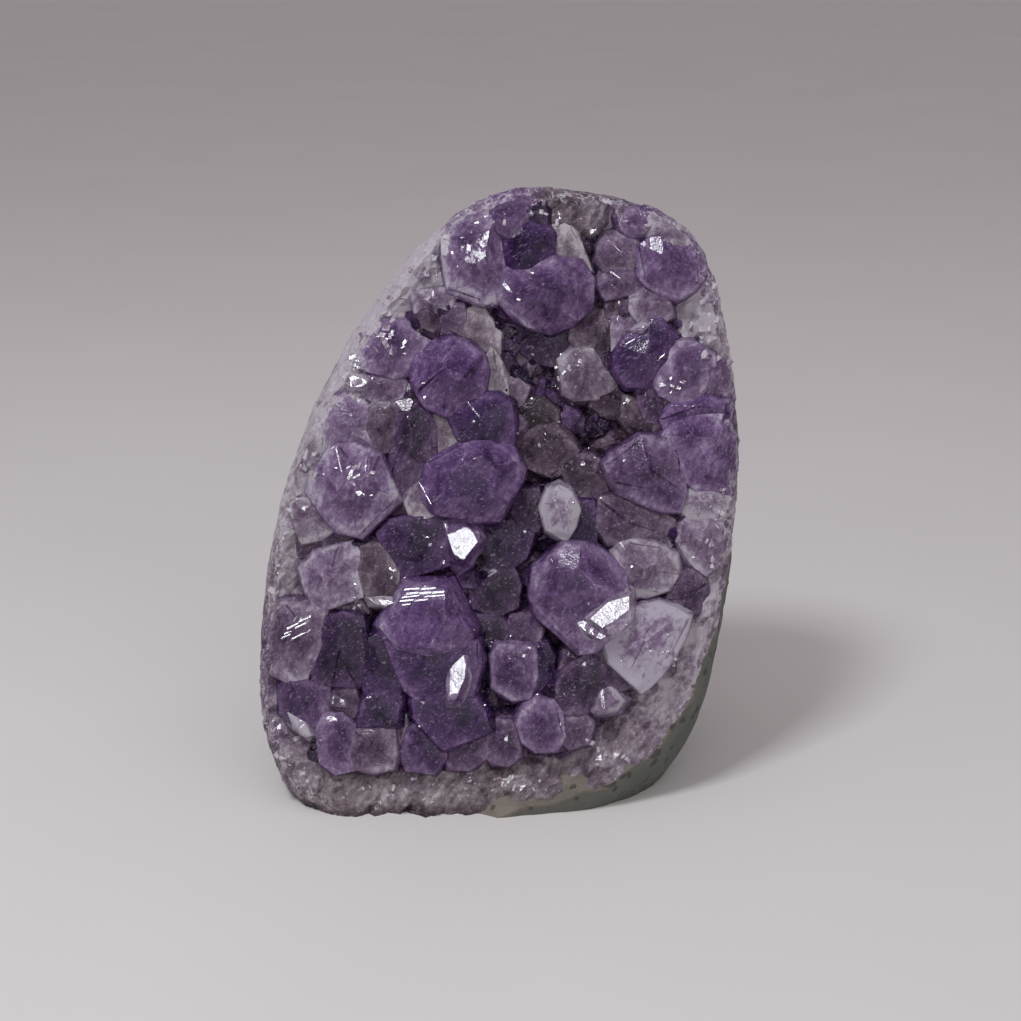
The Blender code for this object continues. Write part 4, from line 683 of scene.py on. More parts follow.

# %% [markdown]
# Each large crystal is placed one by one. Seen from the front it is a many-sided outline with a point or
# a ridge inside it, and nothing else about it can be seen, so that is what the table holds: the
# corners of its shoulder, where the sides meet the tip, and the points of its tip. From the corners
# down it spreads a little towards its root, which the quartz layer hides.
# %% The table of large crystals
# name: (tone, hue, shoulder height, corners (u, v) of the shoulder, points (u, v, height) of the tip)
# The tone runs from 0, pale, to 1, deep, and the hue from 0, smoky, to 1, violet.
CRYSTALS = {
    "crown_left": (.35, .8, -1.6, [(-7.4, 85.5), (-5.5, 88), (-3, 88.4), (-1.4, 86.6), (-.4, 84.5),
        (.4, 81.5), (.2, 79), (-.7, 75.3), (-3, 75.3), (-7.2, 77), (-7.7, 81.5)], [(-3.8, 80.4, 1.0),
        (-2.4, 84.5, .7)]),
    "crown_ledge": (.5, .8, -.8, [(-1.9, 88.6), (.6, 90.8), (5.6, 90.4), (3.6, 88), (3.0, 86.2),
        (1.2, 84.2), (-.3, 85), (-1.5, 86.6)], [(1.5, 87.4, -.1)]),
    "crown_dark": (.95, 1, -1.4, [(3.4, 86.3), (1.6, 85), (.7, 82.8), (1.5, 80.5), (3.2, 78.6),
        (5.4, 79.8), (7, 81.8), (7.2, 84.2), (6.4, 85.4)], [(4.2, 83.2, .9)]),
    "crown_shadow": (.9, .8, -1.8, [(3.5, 88), (5.8, 89.6), (6.4, 87.5), (6.4, 85.2), (3.3, 86.2)],
        [(4.9, 87.3, -1.2)]),
    "crown_grey": (.12, .15, -2.6, [(7.2, 85.6), (9.6, 86), (10.8, 84.2), (12.8, 79.6), (11, 80),
        (9, 80.6), (7.2, 80.4), (7, 82.5)], [(9.0, 83.0, -1.9)]),
    "crown_big": (.55, .85, -1.5, [(.3, 75.2), (.6, 79.3), (3, 79.2), (7.5, 80.8), (11, 80.4),
        (12.6, 78), (12.4, 74.5), (10, 72.3), (7, 71.4), (4.3, 72), (2.5, 72.9)], [(7, 76.4, 1.6),
        (5.2, 74.2, 1)]),
    "crown_bead": (.5, .5, -2.2, [(14.2, 82.8), (15.3, 84.1), (17, 84.5), (18.9, 83.9), (19.9, 82),
        (19.3, 80.4), (18.2, 79.7), (15, 79.8), (14.1, 81)], [(17.1, 81.6, -.9)]),
    "crown_right": (.5, .9, -1.6, [(20, 82.5), (21.8, 83.6), (24, 83.6), (26.8, 83.2), (28.6, 80.4),
        (28.4, 78.6), (27.2, 77), (25, 75.8), (23.3, 76.3), (21.3, 77.5), (20.2, 78.8)],
        [(24.2, 80.2, .6)]),
    "crown_top": (.45, .8, -1.6, [(17.6, 88.2), (19.8, 88.6), (21, 87.4), (21.1, 86.2), (20.2, 84.9),
        (18.6, 84.4), (17.4, 85.5), (17.1, 86.9)], [(19.2, 86.4, -.4)]),
    "crown_pale": (.1, .4, -2.2, [(21, 88.2), (24.5, 87.6), (27, 85.6), (27.6, 83.2), (25.8, 82.4),
        (23.6, 83.3), (21.8, 83.6), (20.7, 85)], [(23.8, 85.2, -1.2)]),
    "crown_foot": (.5, .6, -2.8, [(14.8, 79.5), (18.4, 79.2), (20.3, 78.7), (20.8, 77), (18.5, 76.6),
        (15.5, 75.4), (14.1, 77.2)], [(17.2, 77.8, -1.6)]),
    "crown_low": (.35, .25, -3.4, [(15.3, 74.8), (17, 75.5), (18.5, 74.9), (18.6, 73.2), (17.2, 72.1),
        (15.4, 73)], [(16.8, 74.2, -2.6)]),
    "crown_step": (.4, .5, -2.4, [(19, 75.8), (20.6, 77), (23.8, 75.8), (24.3, 73), (22.6, 72.2),
        (20, 72.4), (18.7, 73.8)], [(21.8, 74.9, -1.2)]),
    "crown_under": (.5, .6, -4.6, [(2.6, 72.2), (5.5, 73.2), (9.8, 72), (10.8, 69.5), (10, 67.5),
        (8, 66.2), (5, 66.8), (2.6, 68.6)], [(6.5, 69.8, -3.0)]),
    "brow_brown": (.4, .25, -3.6, [(10.4, 71.4), (12, 73.5), (14.5, 73.5), (15.5, 72), (14.4, 69.3),
        (13.3, 68.4), (11, 68.6), (10.2, 69.8)], [(12.9, 71.2, -2.6)]),
    "gully_wedge": (.7, .3, -3.4, [(13.8, 68.4), (14.7, 70.6), (15.5, 72.2), (16.3, 70.6), (16, 67.5),
        (15.4, 65.4)], [(15.3, 69, -2.9)]),
    "brow_strip": (.25, .6, -3.0, [(16, 72.5), (18.2, 73), (19.8, 71), (17.6, 68.6), (16.4, 66.2),
        (16.1, 69)], [(17.2, 71, -2.2)]),
    "brow_right": (.7, 1, -1.9, [(16.9, 67.8), (18.2, 69.6), (20.9, 71.8), (22.6, 72.2), (24.7, 70),
        (24.5, 67.5), (22.6, 64.7), (21, 63.4), (18.4, 63.3), (16.7, 65.4)], [(20.6, 67.6, .3)]),
    "brow_edge": (.4, .8, -1.8, [(22.6, 63.6), (23.6, 66.2), (25.4, 68.7), (27.6, 68.8), (30.2, 67.2),
        (30.4, 65.6), (29.4, 63.4), (28, 61.4), (25.3, 61), (23.3, 62)], [(26.3, 64.6, -.2)]),
    "brow_rim": (.35, .6, -2.8, [(28.5, 62), (30.6, 66.8), (32.6, 66.6), (33.4, 64.8), (33.6, 62.6),
        (31, 61.4)], [(31.2, 64.3, -1.8)]),
    "brow_foot": (.5, .6, -3.2, [(19.8, 62.6), (22.8, 62.8), (24.6, 61), (24.4, 59.6), (23, 57.8),
        (21, 58), (20.2, 60)], [(22.2, 60.8, -2.4)]),
    "shoulder_left": (.35, .85, -2.0, [(-20.2, 67.8), (-18.8, 70.4), (-16.5, 71.8), (-14, 71.8),
        (-11, 70), (-10.6, 69), (-11.9, 66.6), (-13, 65.2), (-15.2, 64.6), (-17.3, 65), (-19.8, 65.8)],
        [(-15.8, 68.4, -.2)]),
    "shoulder_step": (.35, .6, -2.8, [(-19.6, 65.2), (-15, 65), (-13.8, 63.4), (-14.4, 61), (-16, 60.3),
        (-19.2, 61.2), (-20.6, 62.4)], [(-17.4, 63.3, -1.6)]),
    "shoulder_dusk": (.5, .5, -3.2, [(-14.2, 63.3), (-12.2, 63), (-11.4, 61.6), (-11.8, 60.2),
        (-14.2, 60), (-14.9, 60.8)], [(-13, 61.8, -2.4)]),
    "shoulder_violet": (.62, 1, -1.4, [(-12.3, 64.5), (-12.1, 66.2), (-11, 67.6), (-9.5, 68.8),
        (-7, 69.3), (-4.8, 68.6), (-3, 67), (-2.4, 65), (-2.9, 62.5), (-4.2, 60.9), (-7, 59.2),
        (-8.2, 59.3), (-10.5, 60.4), (-11.5, 62)], [(-7.6, 65.4, 1.2), (-5.8, 63.2, .8)]),
    "shoulder_grey": (.1, .2, -3.6, [(-8.8, 69.4), (-5.2, 73.4), (-3, 74.4), (-1.6, 72.4), (-.4, 70.5),
        (-.4, 66.6), (-2.4, 64.8), (-5, 66)], [(-3.2, 70.3, -2.6)]),
    "shoulder_pane": (.45, .6, -3.0, [(-10, 72.8), (-7.3, 74.4), (-5.5, 74.6), (-5.3, 72.4), (-7, 70.8),
        (-9.4, 70.4)], [(-7.6, 72.9, -2.2)]),
    "shoulder_rise": (.25, .5, -2.6, [(-12.6, 76.4), (-9.8, 75.2), (-8, 76.8), (-6.8, 76.2),
        (-7.2, 74.3), (-10.3, 72.6), (-12, 73)], [(-9.6, 74.6, -1.8)]),
    "shoulder_strip": (.05, .2, -3.0, [(-2.5, 65), (-1.4, 68.2), (-.2, 66.8), (.4, 64.5), (.9, 61.6),
        (-.9, 61.2), (-3.6, 61.2)], [(-1.2, 64.6, -2.2)]),
    "gully_pebble": (.15, .4, -4.2, [(.2, 62), (1, 64), (2.6, 64.4), (3.6, 62.6), (3, 60.6), (1.3, 60)],
        [(1.6, 63.2, -3.0)]),
    "left_high": (.3, .7, -2.4, [(-25.2, 58.6), (-23.8, 60.8), (-22, 61.6), (-19.8, 60.6),
        (-18.9, 59.2), (-19.3, 55.4), (-18.8, 54), (-21, 53.6), (-24, 53.8), (-25.6, 56)],
        [(-22, 57.6, -.9)]),
    "left_dark": (.6, .3, -2.4, [(-19.4, 58.5), (-18.4, 60.2), (-16.7, 60.3), (-14.8, 60.2),
        (-14.8, 57.5), (-15.3, 56), (-15.8, 54.1), (-17.5, 53.5), (-19.2, 55.2)], [(-17, 57.4, -1.3)]),
    "left_long": (.75, .6, -2.2, [(-14.9, 60.2), (-12, 60.9), (-10.8, 60.4), (-10.2, 57), (-8.9, 54),
        (-10.2, 52.3), (-12, 48.8), (-13.8, 47.4), (-15.9, 50), (-15.5, 53), (-15.3, 56)],
        [(-12.9, 57, -.5), (-13.2, 52.4, -.9)]),
    "grey_wedge": (.1, .15, -2.8, [(-10.6, 59.8), (-7.5, 59.4), (-5.8, 56.6), (-5, 54.9), (-5.3, 52.6),
        (-9.9, 52), (-10.2, 54)], [(-8, 56.4, -2.0)]),
    "middle_hexagon": (.85, 1, -1.8, [(-7.4, 59.2), (-4.6, 60.8), (-3, 61.4), (-.5, 61.5), (1.2, 60.2),
        (1.5, 57.5), (1.3, 55), (0, 54), (-5, 54.6), (-6, 56)], [(-3, 58, 0)]),
    "middle_big": (0.6, 1, -1.2, [(-10.2, 51.8), (-5.5, 52.8), (-4.8, 54.4), (0, 54.7), (1.4, 53.4),
        (2.7, 50.8), (2.4, 49.4), (.1, 45.2), (-.6, 44.3), (-3.9, 44), (-9.3, 45), (-11.2, 47.4)],
        [(-6.4, 51.2, .9), (-4.7, 45.6, 1), (-.6, 50, .9)]),
    "middle_side": (.15, .3, -2.4, [(-14.3, 47.6), (-12.4, 49.6), (-11.2, 50.2), (-8.8, 45),
        (-11.9, 43.4), (-13, 44.4)], [(-11.5, 47.8, -1.6)]),
    "gully_low": (0.62, .15, -4.8, [(1.8, 55.2), (1.7, 58), (3.3, 60.8), (6, 61), (8, 59.3),
        (8.2, 57.4), (5.3, 56.4)], [(4.6, 58.8, -3.8)]),
    "gully_slab": (0.42, .2, -4.0, [(1.5, 52.3), (2, 54.5), (5.5, 56.9), (7.8, 57.1), (9.5, 55.4),
        (11, 53.6), (9.3, 50.9), (7.2, 50.1), (5, 51.8)], [(6.6, 54.6, -2.9)]),
    "gully_frost": (.1, .3, -3.8, [(8.6, 66.6), (10.8, 68.6), (13.5, 68.2), (15.5, 65.5), (16.3, 63),
        (14, 61.4), (11, 61.2), (9.3, 62)], [(12, 65.4, -2.6)]),
    "gully_east": (.5, .25, -4.4, [(13.4, 62.6), (16.9, 62.4), (18.4, 60.6), (18, 58.4), (15.6, 58.6),
        (13.2, 60)], [(15.8, 60.9, -3.6)]),
    "right_link": (.5, .2, -3.8, [(17.8, 61.4), (19.6, 60.8), (20.6, 58.4), (23, 57.8), (23.6, 56.4),
        (22.6, 55), (20.2, 55.3), (18.9, 56.6), (17.6, 58)], [(20, 58, -3.0)]),
    "right_big": (.6, .75, -1.6, [(15.4, 51.5), (16.4, 53), (20, 55.2), (22.6, 55.2), (25.6, 52.9),
        (25.7, 51.4), (26.2, 48), (25.4, 45.2), (22.4, 45.6), (20.4, 46.8), (17.2, 47.8), (16.4, 49.2)],
        [(20.8, 50.8, .6)]),
    "right_rim_top": (.6, 1, -2.2, [(23.2, 58.2), (25, 60.4), (28, 61.4), (32, 60.8), (33.4, 59.4),
        (33, 58), (30, 58.6), (26, 57.2), (24, 56)], [(28, 59.8, -1.2)]),
    "right_rim_big": (.4, .9, -1.6, [(23.6, 55.6), (24.6, 57), (27, 58), (30, 58.8), (33.4, 57.8),
        (34.4, 54), (34.2, 50), (32.6, 48), (28.2, 48.4), (26.2, 50.4), (25.8, 52.6)],
        [(28.8, 55.6, .2), (29.8, 51.8, .2)]),
    "gully_grey": (.4, .3, -4.0, [(9, 51.4), (10.4, 52.8), (13.2, 52.6), (15.2, 51.4), (16.2, 49.4),
        (15.6, 47.4), (12.4, 46.6), (10, 48.2)], [(12.4, 50.2, -3.0)]),
    "middle_frost": (.1, .5, -2.6, [(6.1, 45.3), (6.9, 47.4), (8.5, 48.2), (10.1, 47.3), (11.1, 45),
        (10.6, 43), (9.4, 40.9), (8.4, 41.5), (6.9, 42.5)], [(8.4, 45.2, -1.6)]),
    "middle_violet": (.9, 1, -3.2, [(10.4, 46.4), (13.4, 46.2), (14, 43), (13.6, 40), (11.4, 39.4),
        (9.6, 40.6)], [(12, 43.2, -2.6)]),
    "middle_wine": (.6, .4, -2.8, [(14.6, 46.6), (17.5, 47.3), (20.2, 46.4), (22.6, 44.4), (22, 42.2),
        (19.6, 40.6), (15.8, 40.2), (14.2, 42.6)], [(18.3, 43.8, -1.6)]),
    "right_pit": (.3, .3, -3.4, [(21, 43.4), (23.4, 44.4), (25, 43.4), (25, 40.6), (23.4, 38.4),
        (20.8, 40.4)], [(23.2, 42, -2.6)]),
    "right_rim_frost": (.1, .4, -2.4, [(26.4, 47.6), (28.4, 48.8), (31.6, 48.6), (33, 46.4),
        (31.6, 43.4), (28.4, 43.4), (26.4, 45)], [(29.2, 46.4, -1.2)]),
    "right_rim_low": (.3, .5, -2.4, [(26, 42.8), (28.2, 44.6), (31.4, 43.8), (32.4, 41), (31.8, 38),
        (29.6, 36), (27.2, 38.4), (25.8, 40.6)], [(28.8, 40.8, -1.3)]),
    "right_rim_wine": (.55, .5, -3.0, [(24.8, 35), (27.2, 36.2), (29.4, 35.4), (29.6, 33), (28.6, 30.4),
        (26.4, 30), (24.4, 32.2)], [(27, 33.4, -2.0)]),
    "right_frost": (.15, .4, -2.2, [(16.5, 38.6), (17.6, 40.2), (20, 40.4), (22.6, 39.8), (25, 38.4),
        (25.4, 36), (24, 33.8), (21, 32.9), (18.9, 33.2), (18.4, 35), (17.2, 36.9)],
        [(20.6, 36.9, -.9)]),
    "right_low_big": (.5, .9, -1.2, [(4.9, 32.6), (5.4, 36.3), (7.2, 37.8), (9.4, 39.6), (13, 39.5),
        (15.4, 37.8), (17.3, 36), (18, 33.4), (17.2, 28.2), (13.6, 25.2), (11.2, 24.9), (7.6, 29.2),
        (5.6, 30.4)], [(9.2, 36.6, .9), (13.6, 33.9, 1.2), (8.6, 32.6, .8)]),
    "right_pale": (.0, .65, -1.0, [(15.5, 25.8), (17.2, 28), (19.4, 30.4), (22.5, 31.2), (25, 30.6),
        (27, 29.4), (26, 26.5), (24, 23), (21.8, 20.3), (20.4, 19.2), (18.7, 21.2), (16.2, 23.2)],
        [(20.8, 26.6, .6)]),
    "left_rim_pale": (0, .3, -2.4, [(-32, 52), (-30.2, 55.8), (-27.4, 57), (-25.6, 55.4), (-25.2, 53.2),
        (-27, 49.4), (-28.6, 47.2), (-31.6, 47.6)], [(-28.4, 52.4, -1.0)]),
    "left_rim_rose": (.3, .35, -2.2, [(-30.4, 46.4), (-27, 46.6), (-24.6, 43.6), (-23.6, 42.8),
        (-26, 41.3), (-28.6, 40.6), (-29.4, 43)], [(-27.4, 44, -1.2)]),
    "left_big": (.34, .8, -.9, [(-27.3, 48), (-26.6, 50.2), (-24.6, 53.1), (-23.2, 54), (-21, 54.1),
        (-17.8, 52.8), (-17, 50.1), (-15, 46.8), (-20.2, 41.8), (-23.8, 42.8), (-25.5, 45.2)],
        [(-23.2, 48, 1.3), (-21.5, 50, 1.3), (-19.6, 48.4, 1.3)]),
    "left_shade": (.65, .35, -3.2, [(-28.8, 40.5), (-26, 41.2), (-23.4, 42.6), (-20.6, 41.6),
        (-20.6, 39.8), (-22.4, 38.9), (-26.4, 38.4), (-29.6, 38.2)], [(-24.4, 40.4, -2.6)]),
    "left_lilac": (.3, .6, -1.9, [(-28.6, 36.4), (-26.6, 38.6), (-21.6, 40.2), (-20.6, 38.8),
        (-20.8, 35), (-20.3, 32.8), (-22.4, 32.4), (-24.6, 31.2), (-26.6, 31.2), (-27.8, 33.4)],
        [(-24, 35.6, -.6)]),
    "left_frame": (.6, .2, -1.9, [(-20.8, 38.3), (-20, 39.6), (-17.6, 40), (-16.4, 38.4), (-15, 36),
        (-15, 33.4), (-15.8, 31.6), (-18.6, 31.8), (-19.6, 33.4), (-20.4, 36)], [(-18, 35.8, -1.1)]),
    "middle_wide": (0.8, .85, -2.4, [(-17.6, 41.6), (-15.6, 43.6), (-12.4, 43), (-9.8, 44.4),
        (-7.9, 43.2), (-7.4, 40), (-6.2, 37.6), (-9.8, 37.4), (-12, 37), (-14, 35.4), (-16, 37.6)],
        [(-12.2, 40.4, -1.2)]),
    "middle_dusk": (.8, .5, -3.4, [(-15.2, 46.8), (-13.8, 46.2), (-12.6, 45), (-11.9, 43.4), (-14, 43),
        (-16, 43.4)], [(-13.8, 44.8, -2.9)]),
    "middle_deep": (.8, .8, -3.8, [(-3, 42.3), (0, 43), (3, 43.2), (4.6, 41.4), (3.4, 38), (1.2, 36.4),
        (-3, 36.8), (-4.4, 38)], [(.2, 40.2, -3.0)]),
    "middle_notch": (.7, .5, -3.8, [(2.6, 47.8), (5.4, 48), (6.2, 45), (5.4, 42), (3, 42), (1.8, 44.6)],
        [(4, 45.4, -3.2)]),
    "gully_rough": (.6, .6, -3.8, [(-4.4, 34.2), (-2.6, 36.6), (1.6, 36.6), (2.6, 34), (2.2, 31),
        (-.6, 29.8), (-4.2, 31)], [(-1, 33.2, -2.9)]),
    "gully_stone": (.4, .6, -4.0, [(1.6, 29.4), (4.4, 29.8), (5.8, 27.6), (5.2, 25), (2.4, 24.8),
        (.6, 27)], [(3.4, 27.6, -3.2)]),
    "gully_mid": (.7, .6, -3.8, [(-4, 29.6), (-.4, 29.6), (1.4, 27.6), (.4, 25.4), (-3, 25.2),
        (-4.6, 27)], [(-1.6, 27.6, -3.2)]),
    "gully_violet": (.8, 1, -3.6, [(4.4, 24.9), (6.6, 25.4), (7.6, 23.4), (7.4, 20), (5.2, 18.4),
        (3.8, 20), (3.8, 23)], [(5.8, 22, -2.8)]),
    "gully_smooth": (0.45, .8, -2.6, [(-1.2, 23.4), (-.4, 25.2), (2.6, 25.1), (4.9, 24.9), (5, 20.6),
        (4.2, 17.8), (1.6, 17.6), (-1, 19.3)], [(.8, 21.8, -1.8), (3.4, 21.8, -1.8)]),
    "gully_foot": (.55, .5, -3.2, [(8.6, 21.6), (9.4, 24.4), (12, 25), (13.2, 24), (11.4, 22),
        (10, 20.8)], [(10.8, 23, -2.6)]),
    "low_wine": (0.82, .55, -2.2, [(8.2, 18.6), (8.8, 21), (12.4, 24), (14.8, 22.6), (16.6, 20.4),
        (14.8, 19.4), (13.6, 16.4), (11.4, 15.6), (8.6, 15.8)], [(12, 19.6, -1.0)]),
    "low_brick": (0.77, .4, -2.4, [(13.4, 24.2), (15.4, 24.4), (18.6, 21.2), (19, 19.6), (16.8, 18.8),
        (15.4, 19.6), (14.2, 22)], [(16.2, 21.6, -1.6)]),
    "low_lilac": (0.52, .8, -1.9, [(2.6, 14), (3.6, 16.2), (5.2, 17.3), (7.6, 17), (8.6, 15.4),
        (9, 12.4), (8, 10.4), (5.2, 10.2), (3.4, 11.6)], [(6, 14, -.8)]),
    "low_bead": (0.57, .6, -2.6, [(-1.8, 12.4), (-.6, 14.2), (1.4, 14), (2.4, 12.4), (2.6, 9.4), (1, 8),
        (-1.2, 8.2), (-2.2, 10)], [(.4, 11.6, -1.6)]),
    "hero_foot": (.75, 1, -.6, [(-17, 27.4), (-15.3, 25.6), (-10, 24.8), (-3.6, 26), (-3.2, 23),
        (-4.4, 18.6), (-7, 17), (-9, 15.6), (-13.5, 19.4), (-13.8, 21.5)], [(-9.8, 22.4, .8)]),
    "left_ribbed": (0.42, .5, -1.6, [(-33.2, 31), (-31, 31.4), (-28, 31.5), (-25.4, 30.4), (-25.6, 27),
        (-26.8, 23.4), (-27.6, 21.2), (-31, 20.6), (-33.4, 22), (-34, 27)], [(-29.6, 28.4, -.4)]),
    "left_dark_big": (.97, .75, -1.4, [(-26.8, 22.6), (-25.9, 26.4), (-25, 29.4), (-22.8, 30),
        (-20, 29.4), (-19.8, 26.4), (-19.9, 22), (-20.6, 19.8), (-24.4, 20), (-27.4, 20.8)],
        [(-23.4, 25.4, -.3)]),
    "left_darkest": (1.02, .85, -1.8, [(-19.8, 25.8), (-17.6, 27), (-15.9, 25.2), (-13.9, 21.8),
        (-14.2, 19.4), (-14.8, 18.7), (-19.6, 18.8), (-20.1, 21)], [(-17.4, 23.2, -.9)]),
    "left_crumb": (.6, .3, -2.8, [(-24.6, 31.2), (-22.4, 32.6), (-20.4, 31.8), (-19.4, 30.2), (-21, 29),
        (-24.2, 29.6)], [(-22.2, 30.8, -2.2)]),
    "low_left_bead": (0.77, .4, -2.2, [(-24.8, 16), (-24.2, 18.6), (-23, 19.6), (-21.4, 19.6),
        (-20.9, 17.4), (-21.4, 15.2), (-23.4, 15)], [(-22.8, 18.2, -1.4)]),
    "low_keel": (.9, 1, -.6, [(-12.6, 17.6), (-9.2, 18.4), (-6.8, 17.4), (-4, 17.8), (-2.4, 16),
        (-1.8, 13.2), (-5, 12), (-8, 10.7), (-8.6, 11), (-10.4, 13), (-12.4, 15.2)], [(-6.8, 15.2, 0)]),
    "foot_violet": (0.72, .8, -2.2, [(-14.4, 9.6), (-13.4, 13), (-11.2, 14.4), (-9.8, 13.2),
        (-8.4, 11.2), (-8.2, 9), (-9.8, 6.9), (-13.4, 7.4)], [(-11.3, 10.6, -1.2)]),
    "foot_small": (0.62, .6, -2.6, [(-8.2, 10.9), (-5.2, 12.2), (-2, 12.8), (-2.2, 9), (-4.6, 7.4),
        (-7.6, 7.4)], [(-4.9, 10.2, -1.7)]),
    "foot_grey": (0.57, .4, -1.6, [(-21.3, 12.8), (-18.4, 13.7), (-15.6, 13), (-15.4, 10), (-15.8, 7.8),
        (-18.4, 7.1), (-21, 7.6), (-22, 10)], [(-18.6, 10.8, -.8)]),
    "foot_side": (0.3, .4, -2.6, [(-15.6, 13.6), (-14.6, 16.6), (-13.9, 15.6), (-13.4, 12.4),
        (-14.6, 9.2), (-15.6, 9.6)], [(-14.6, 13, -2.2)]),
    "foot_lilac": (0.57, .8, -1.7, [(-26.8, 12.2), (-25.6, 15.2), (-23, 15.4), (-21.4, 13.6),
        (-21.6, 10), (-21.2, 7.6), (-24, 7), (-26, 8.6)], [(-23.8, 11.6, -.6)]),
    "foot_left": (0.67, .8, -1.9, [(-31.8, 19.6), (-29, 20.8), (-27, 20.8), (-25, 19.6), (-25.2, 16.6),
        (-26.6, 14.4), (-27.4, 12.4), (-29.2, 13.4), (-31.6, 15.6)], [(-28.6, 17.4, -.7)]),
    "foot_right": (0.57, .5, -2.6, [(8.8, 15), (12, 15.4), (13.4, 14), (12.6, 11.2), (10, 10.4),
        (8.6, 12)], [(11, 13.2, -1.8)]),
}
print("large crystals in the table:", len(CRYSTALS))

# %% [markdown]
# A quartz tip is cut by six planes, three large ones that meet at the point and three smaller ones
# between them. So each crystal starts as a blank as tall as its tip, the hull of its corners, which
# spreads a little below the shoulder and goes down to a root. Six planes are then cut off it, each
# sloping so that it meets the drawn outline at the height of the shoulder.
# %% Cutting a crystal from its outline
ROOT_DEPTH = -26.0
SKIRT = 1.35
SKIRT_DROP = 2.1
ONE_PLANE = math.radians(1.5)
# How a plane strays: its turn in degrees, how far the smaller ones are lifted, and its slope
TURN_STRAY = 7
SMALL_PLANE_LIFT = (0.05, 0.3)
SLOPE_STRAY = (0.85, 1.15)
LEAST_REACH = 0.6


def facet_hull(points):
    """The convex hull of some points, with faces that lie in one plane joined."""
    bm = bmesh.new()
    for point in points:
        bm.verts.new(point)
    hull = bmesh.ops.convex_hull(bm, input=bm.verts[:])
    loose = {item for key in ("geom_interior", "geom_unused") for item in hull[key]}
    loose = [item for item in loose if isinstance(item, bmesh.types.BMVert)]
    bmesh.ops.delete(bm, geom=loose, context="VERTS")
    bmesh.ops.dissolve_limit(bm, angle_limit=ONE_PLANE, verts=bm.verts[:], edges=bm.edges[:])
    bmesh.ops.recalc_face_normals(bm, faces=bm.faces)
    return bm


def convex_outline(corners):
    """The corners that are on the outside, in order round the outline."""
    points = sorted(corners)
    outline = []
    for run in (points, points[::-1]):
        side = []
        for u, v in run:
            while len(side) > 1 and ((side[-1][0] - side[-2][0]) * (v - side[-2][1])
                                     - (side[-1][1] - side[-2][1]) * (u - side[-2][0])) <= 0:
                side.pop()
            side.append((u, v))
        outline += side[:-1]
    return outline


def inside_by(outline, u, v):
    """How far inside a convex outline (u, v) is; negative outside."""
    insets = []
    for (u0, v0), (u1, v1) in zip(outline, outline[1:] + outline[:1]):
        length = math.hypot(u1 - u0, v1 - v0)
        insets.append(((u1 - u0) * (v - v0) - (v1 - v0) * (u - u0)) / length)
    return min(insets)


def middle_of(corners):
    return sum((Vector(corner) for corner in corners), Vector((0, 0))) / len(corners)


def crystal_blank(brim, shoulder, corners):
    """The points of a blank: its corners at the brim, and the skirt below the shoulder down to the root."""
    centre = middle_of(corners)
    points = []
    for corner in corners:
        wide = Vector(corner) + (Vector(corner) - centre).normalized() * SKIRT
        points.append(Vector((*corner, brim)))
        points.append(Vector((*wide, shoulder - SKIRT_DROP)))
        points.append(Vector((*wide, ROOT_DEPTH)))
    return points


def cut_tip(bm, chance, shoulder, outline, tips):
    """Cuts the six planes of a tip, and a flat top where three tips are given."""
    edges = zip(outline, outline[1:] + outline[:1])
    (u0, v0), (u1, v1) = max(edges, key=lambda ends: math.dist(*ends))
    first = math.atan2(u0 - u1, v1 - v0)
    planes = []
    for i in range(6):
        angle = first + math.radians(60 * i + chance.uniform(-TURN_STRAY, TURN_STRAY))
        towards = Vector((math.cos(angle), math.sin(angle)))
        tip = max(tips, key=lambda point: Vector(point[:2]).dot(towards))
        furthest = max(Vector(corner).dot(towards) for corner in outline)
        reach = furthest - Vector(tip[:2]).dot(towards)
        drop = tip[2] - shoulder
        lift = 0.0 if i % 2 == 0 else chance.uniform(*SMALL_PLANE_LIFT) * drop
        slope = (drop + lift) * chance.uniform(*SLOPE_STRAY) / max(reach, LEAST_REACH)
        facing = Vector((*(towards * slope), 1)).normalized()
        planes.append((Vector((tip[0], tip[1], tip[2] + lift)), facing))
    if len(tips) > 2:
        a, b, c = (Vector(tip) for tip in tips[:3])
        flat = (b - a).cross(c - a).normalized()
        planes.append((a, flat if flat.z > 0 else -flat))
    for place, facing in planes:
        bmesh.ops.bisect_plane(bm, geom=bm.verts[:] + bm.edges[:] + bm.faces[:], dist=1e-5,
                               plane_co=place, plane_no=facing, clear_outer=True)
        bmesh.ops.holes_fill(bm, edges=[edge for edge in bm.edges if edge.is_boundary], sides=0)


# %% [markdown]
# Edges are a little worn, so a narrow bevel breaks them, and an inset frames each facet, so that the
# stored numbers can change close to its edge. The rim number is 1 well inside the crystal's outline
# and 0 on it, goes below 0 down its sides, and has a mark of its own on the worn ridges. The tint
# holds the tone, the hue and a shift that gives each crystal its own clouds. Crystals that stand low
# get a deeper tone, because less light comes back out of the gaps.
# %% Finishing the large crystals
EDGE_WEAR = 0.12
WORN_BELOW = 2.0
MERGE_WITHIN = 0.03
FRAME_WIDTH = 0.9
FRAME_SHARE = 0.4
SMALLEST_FACET = 0.35
OUTLINE_BAND = 1.9
SIDE_BAND = 3.0
RIDGE_MARK = 2.0
LOW_SHOULDER = -2.4
LOW_SHADE = 0.2
OWN_SHIFT = 17.3

Head = namedtuple("Head", "outline middle reach shoulder numbers")
HEADS = []


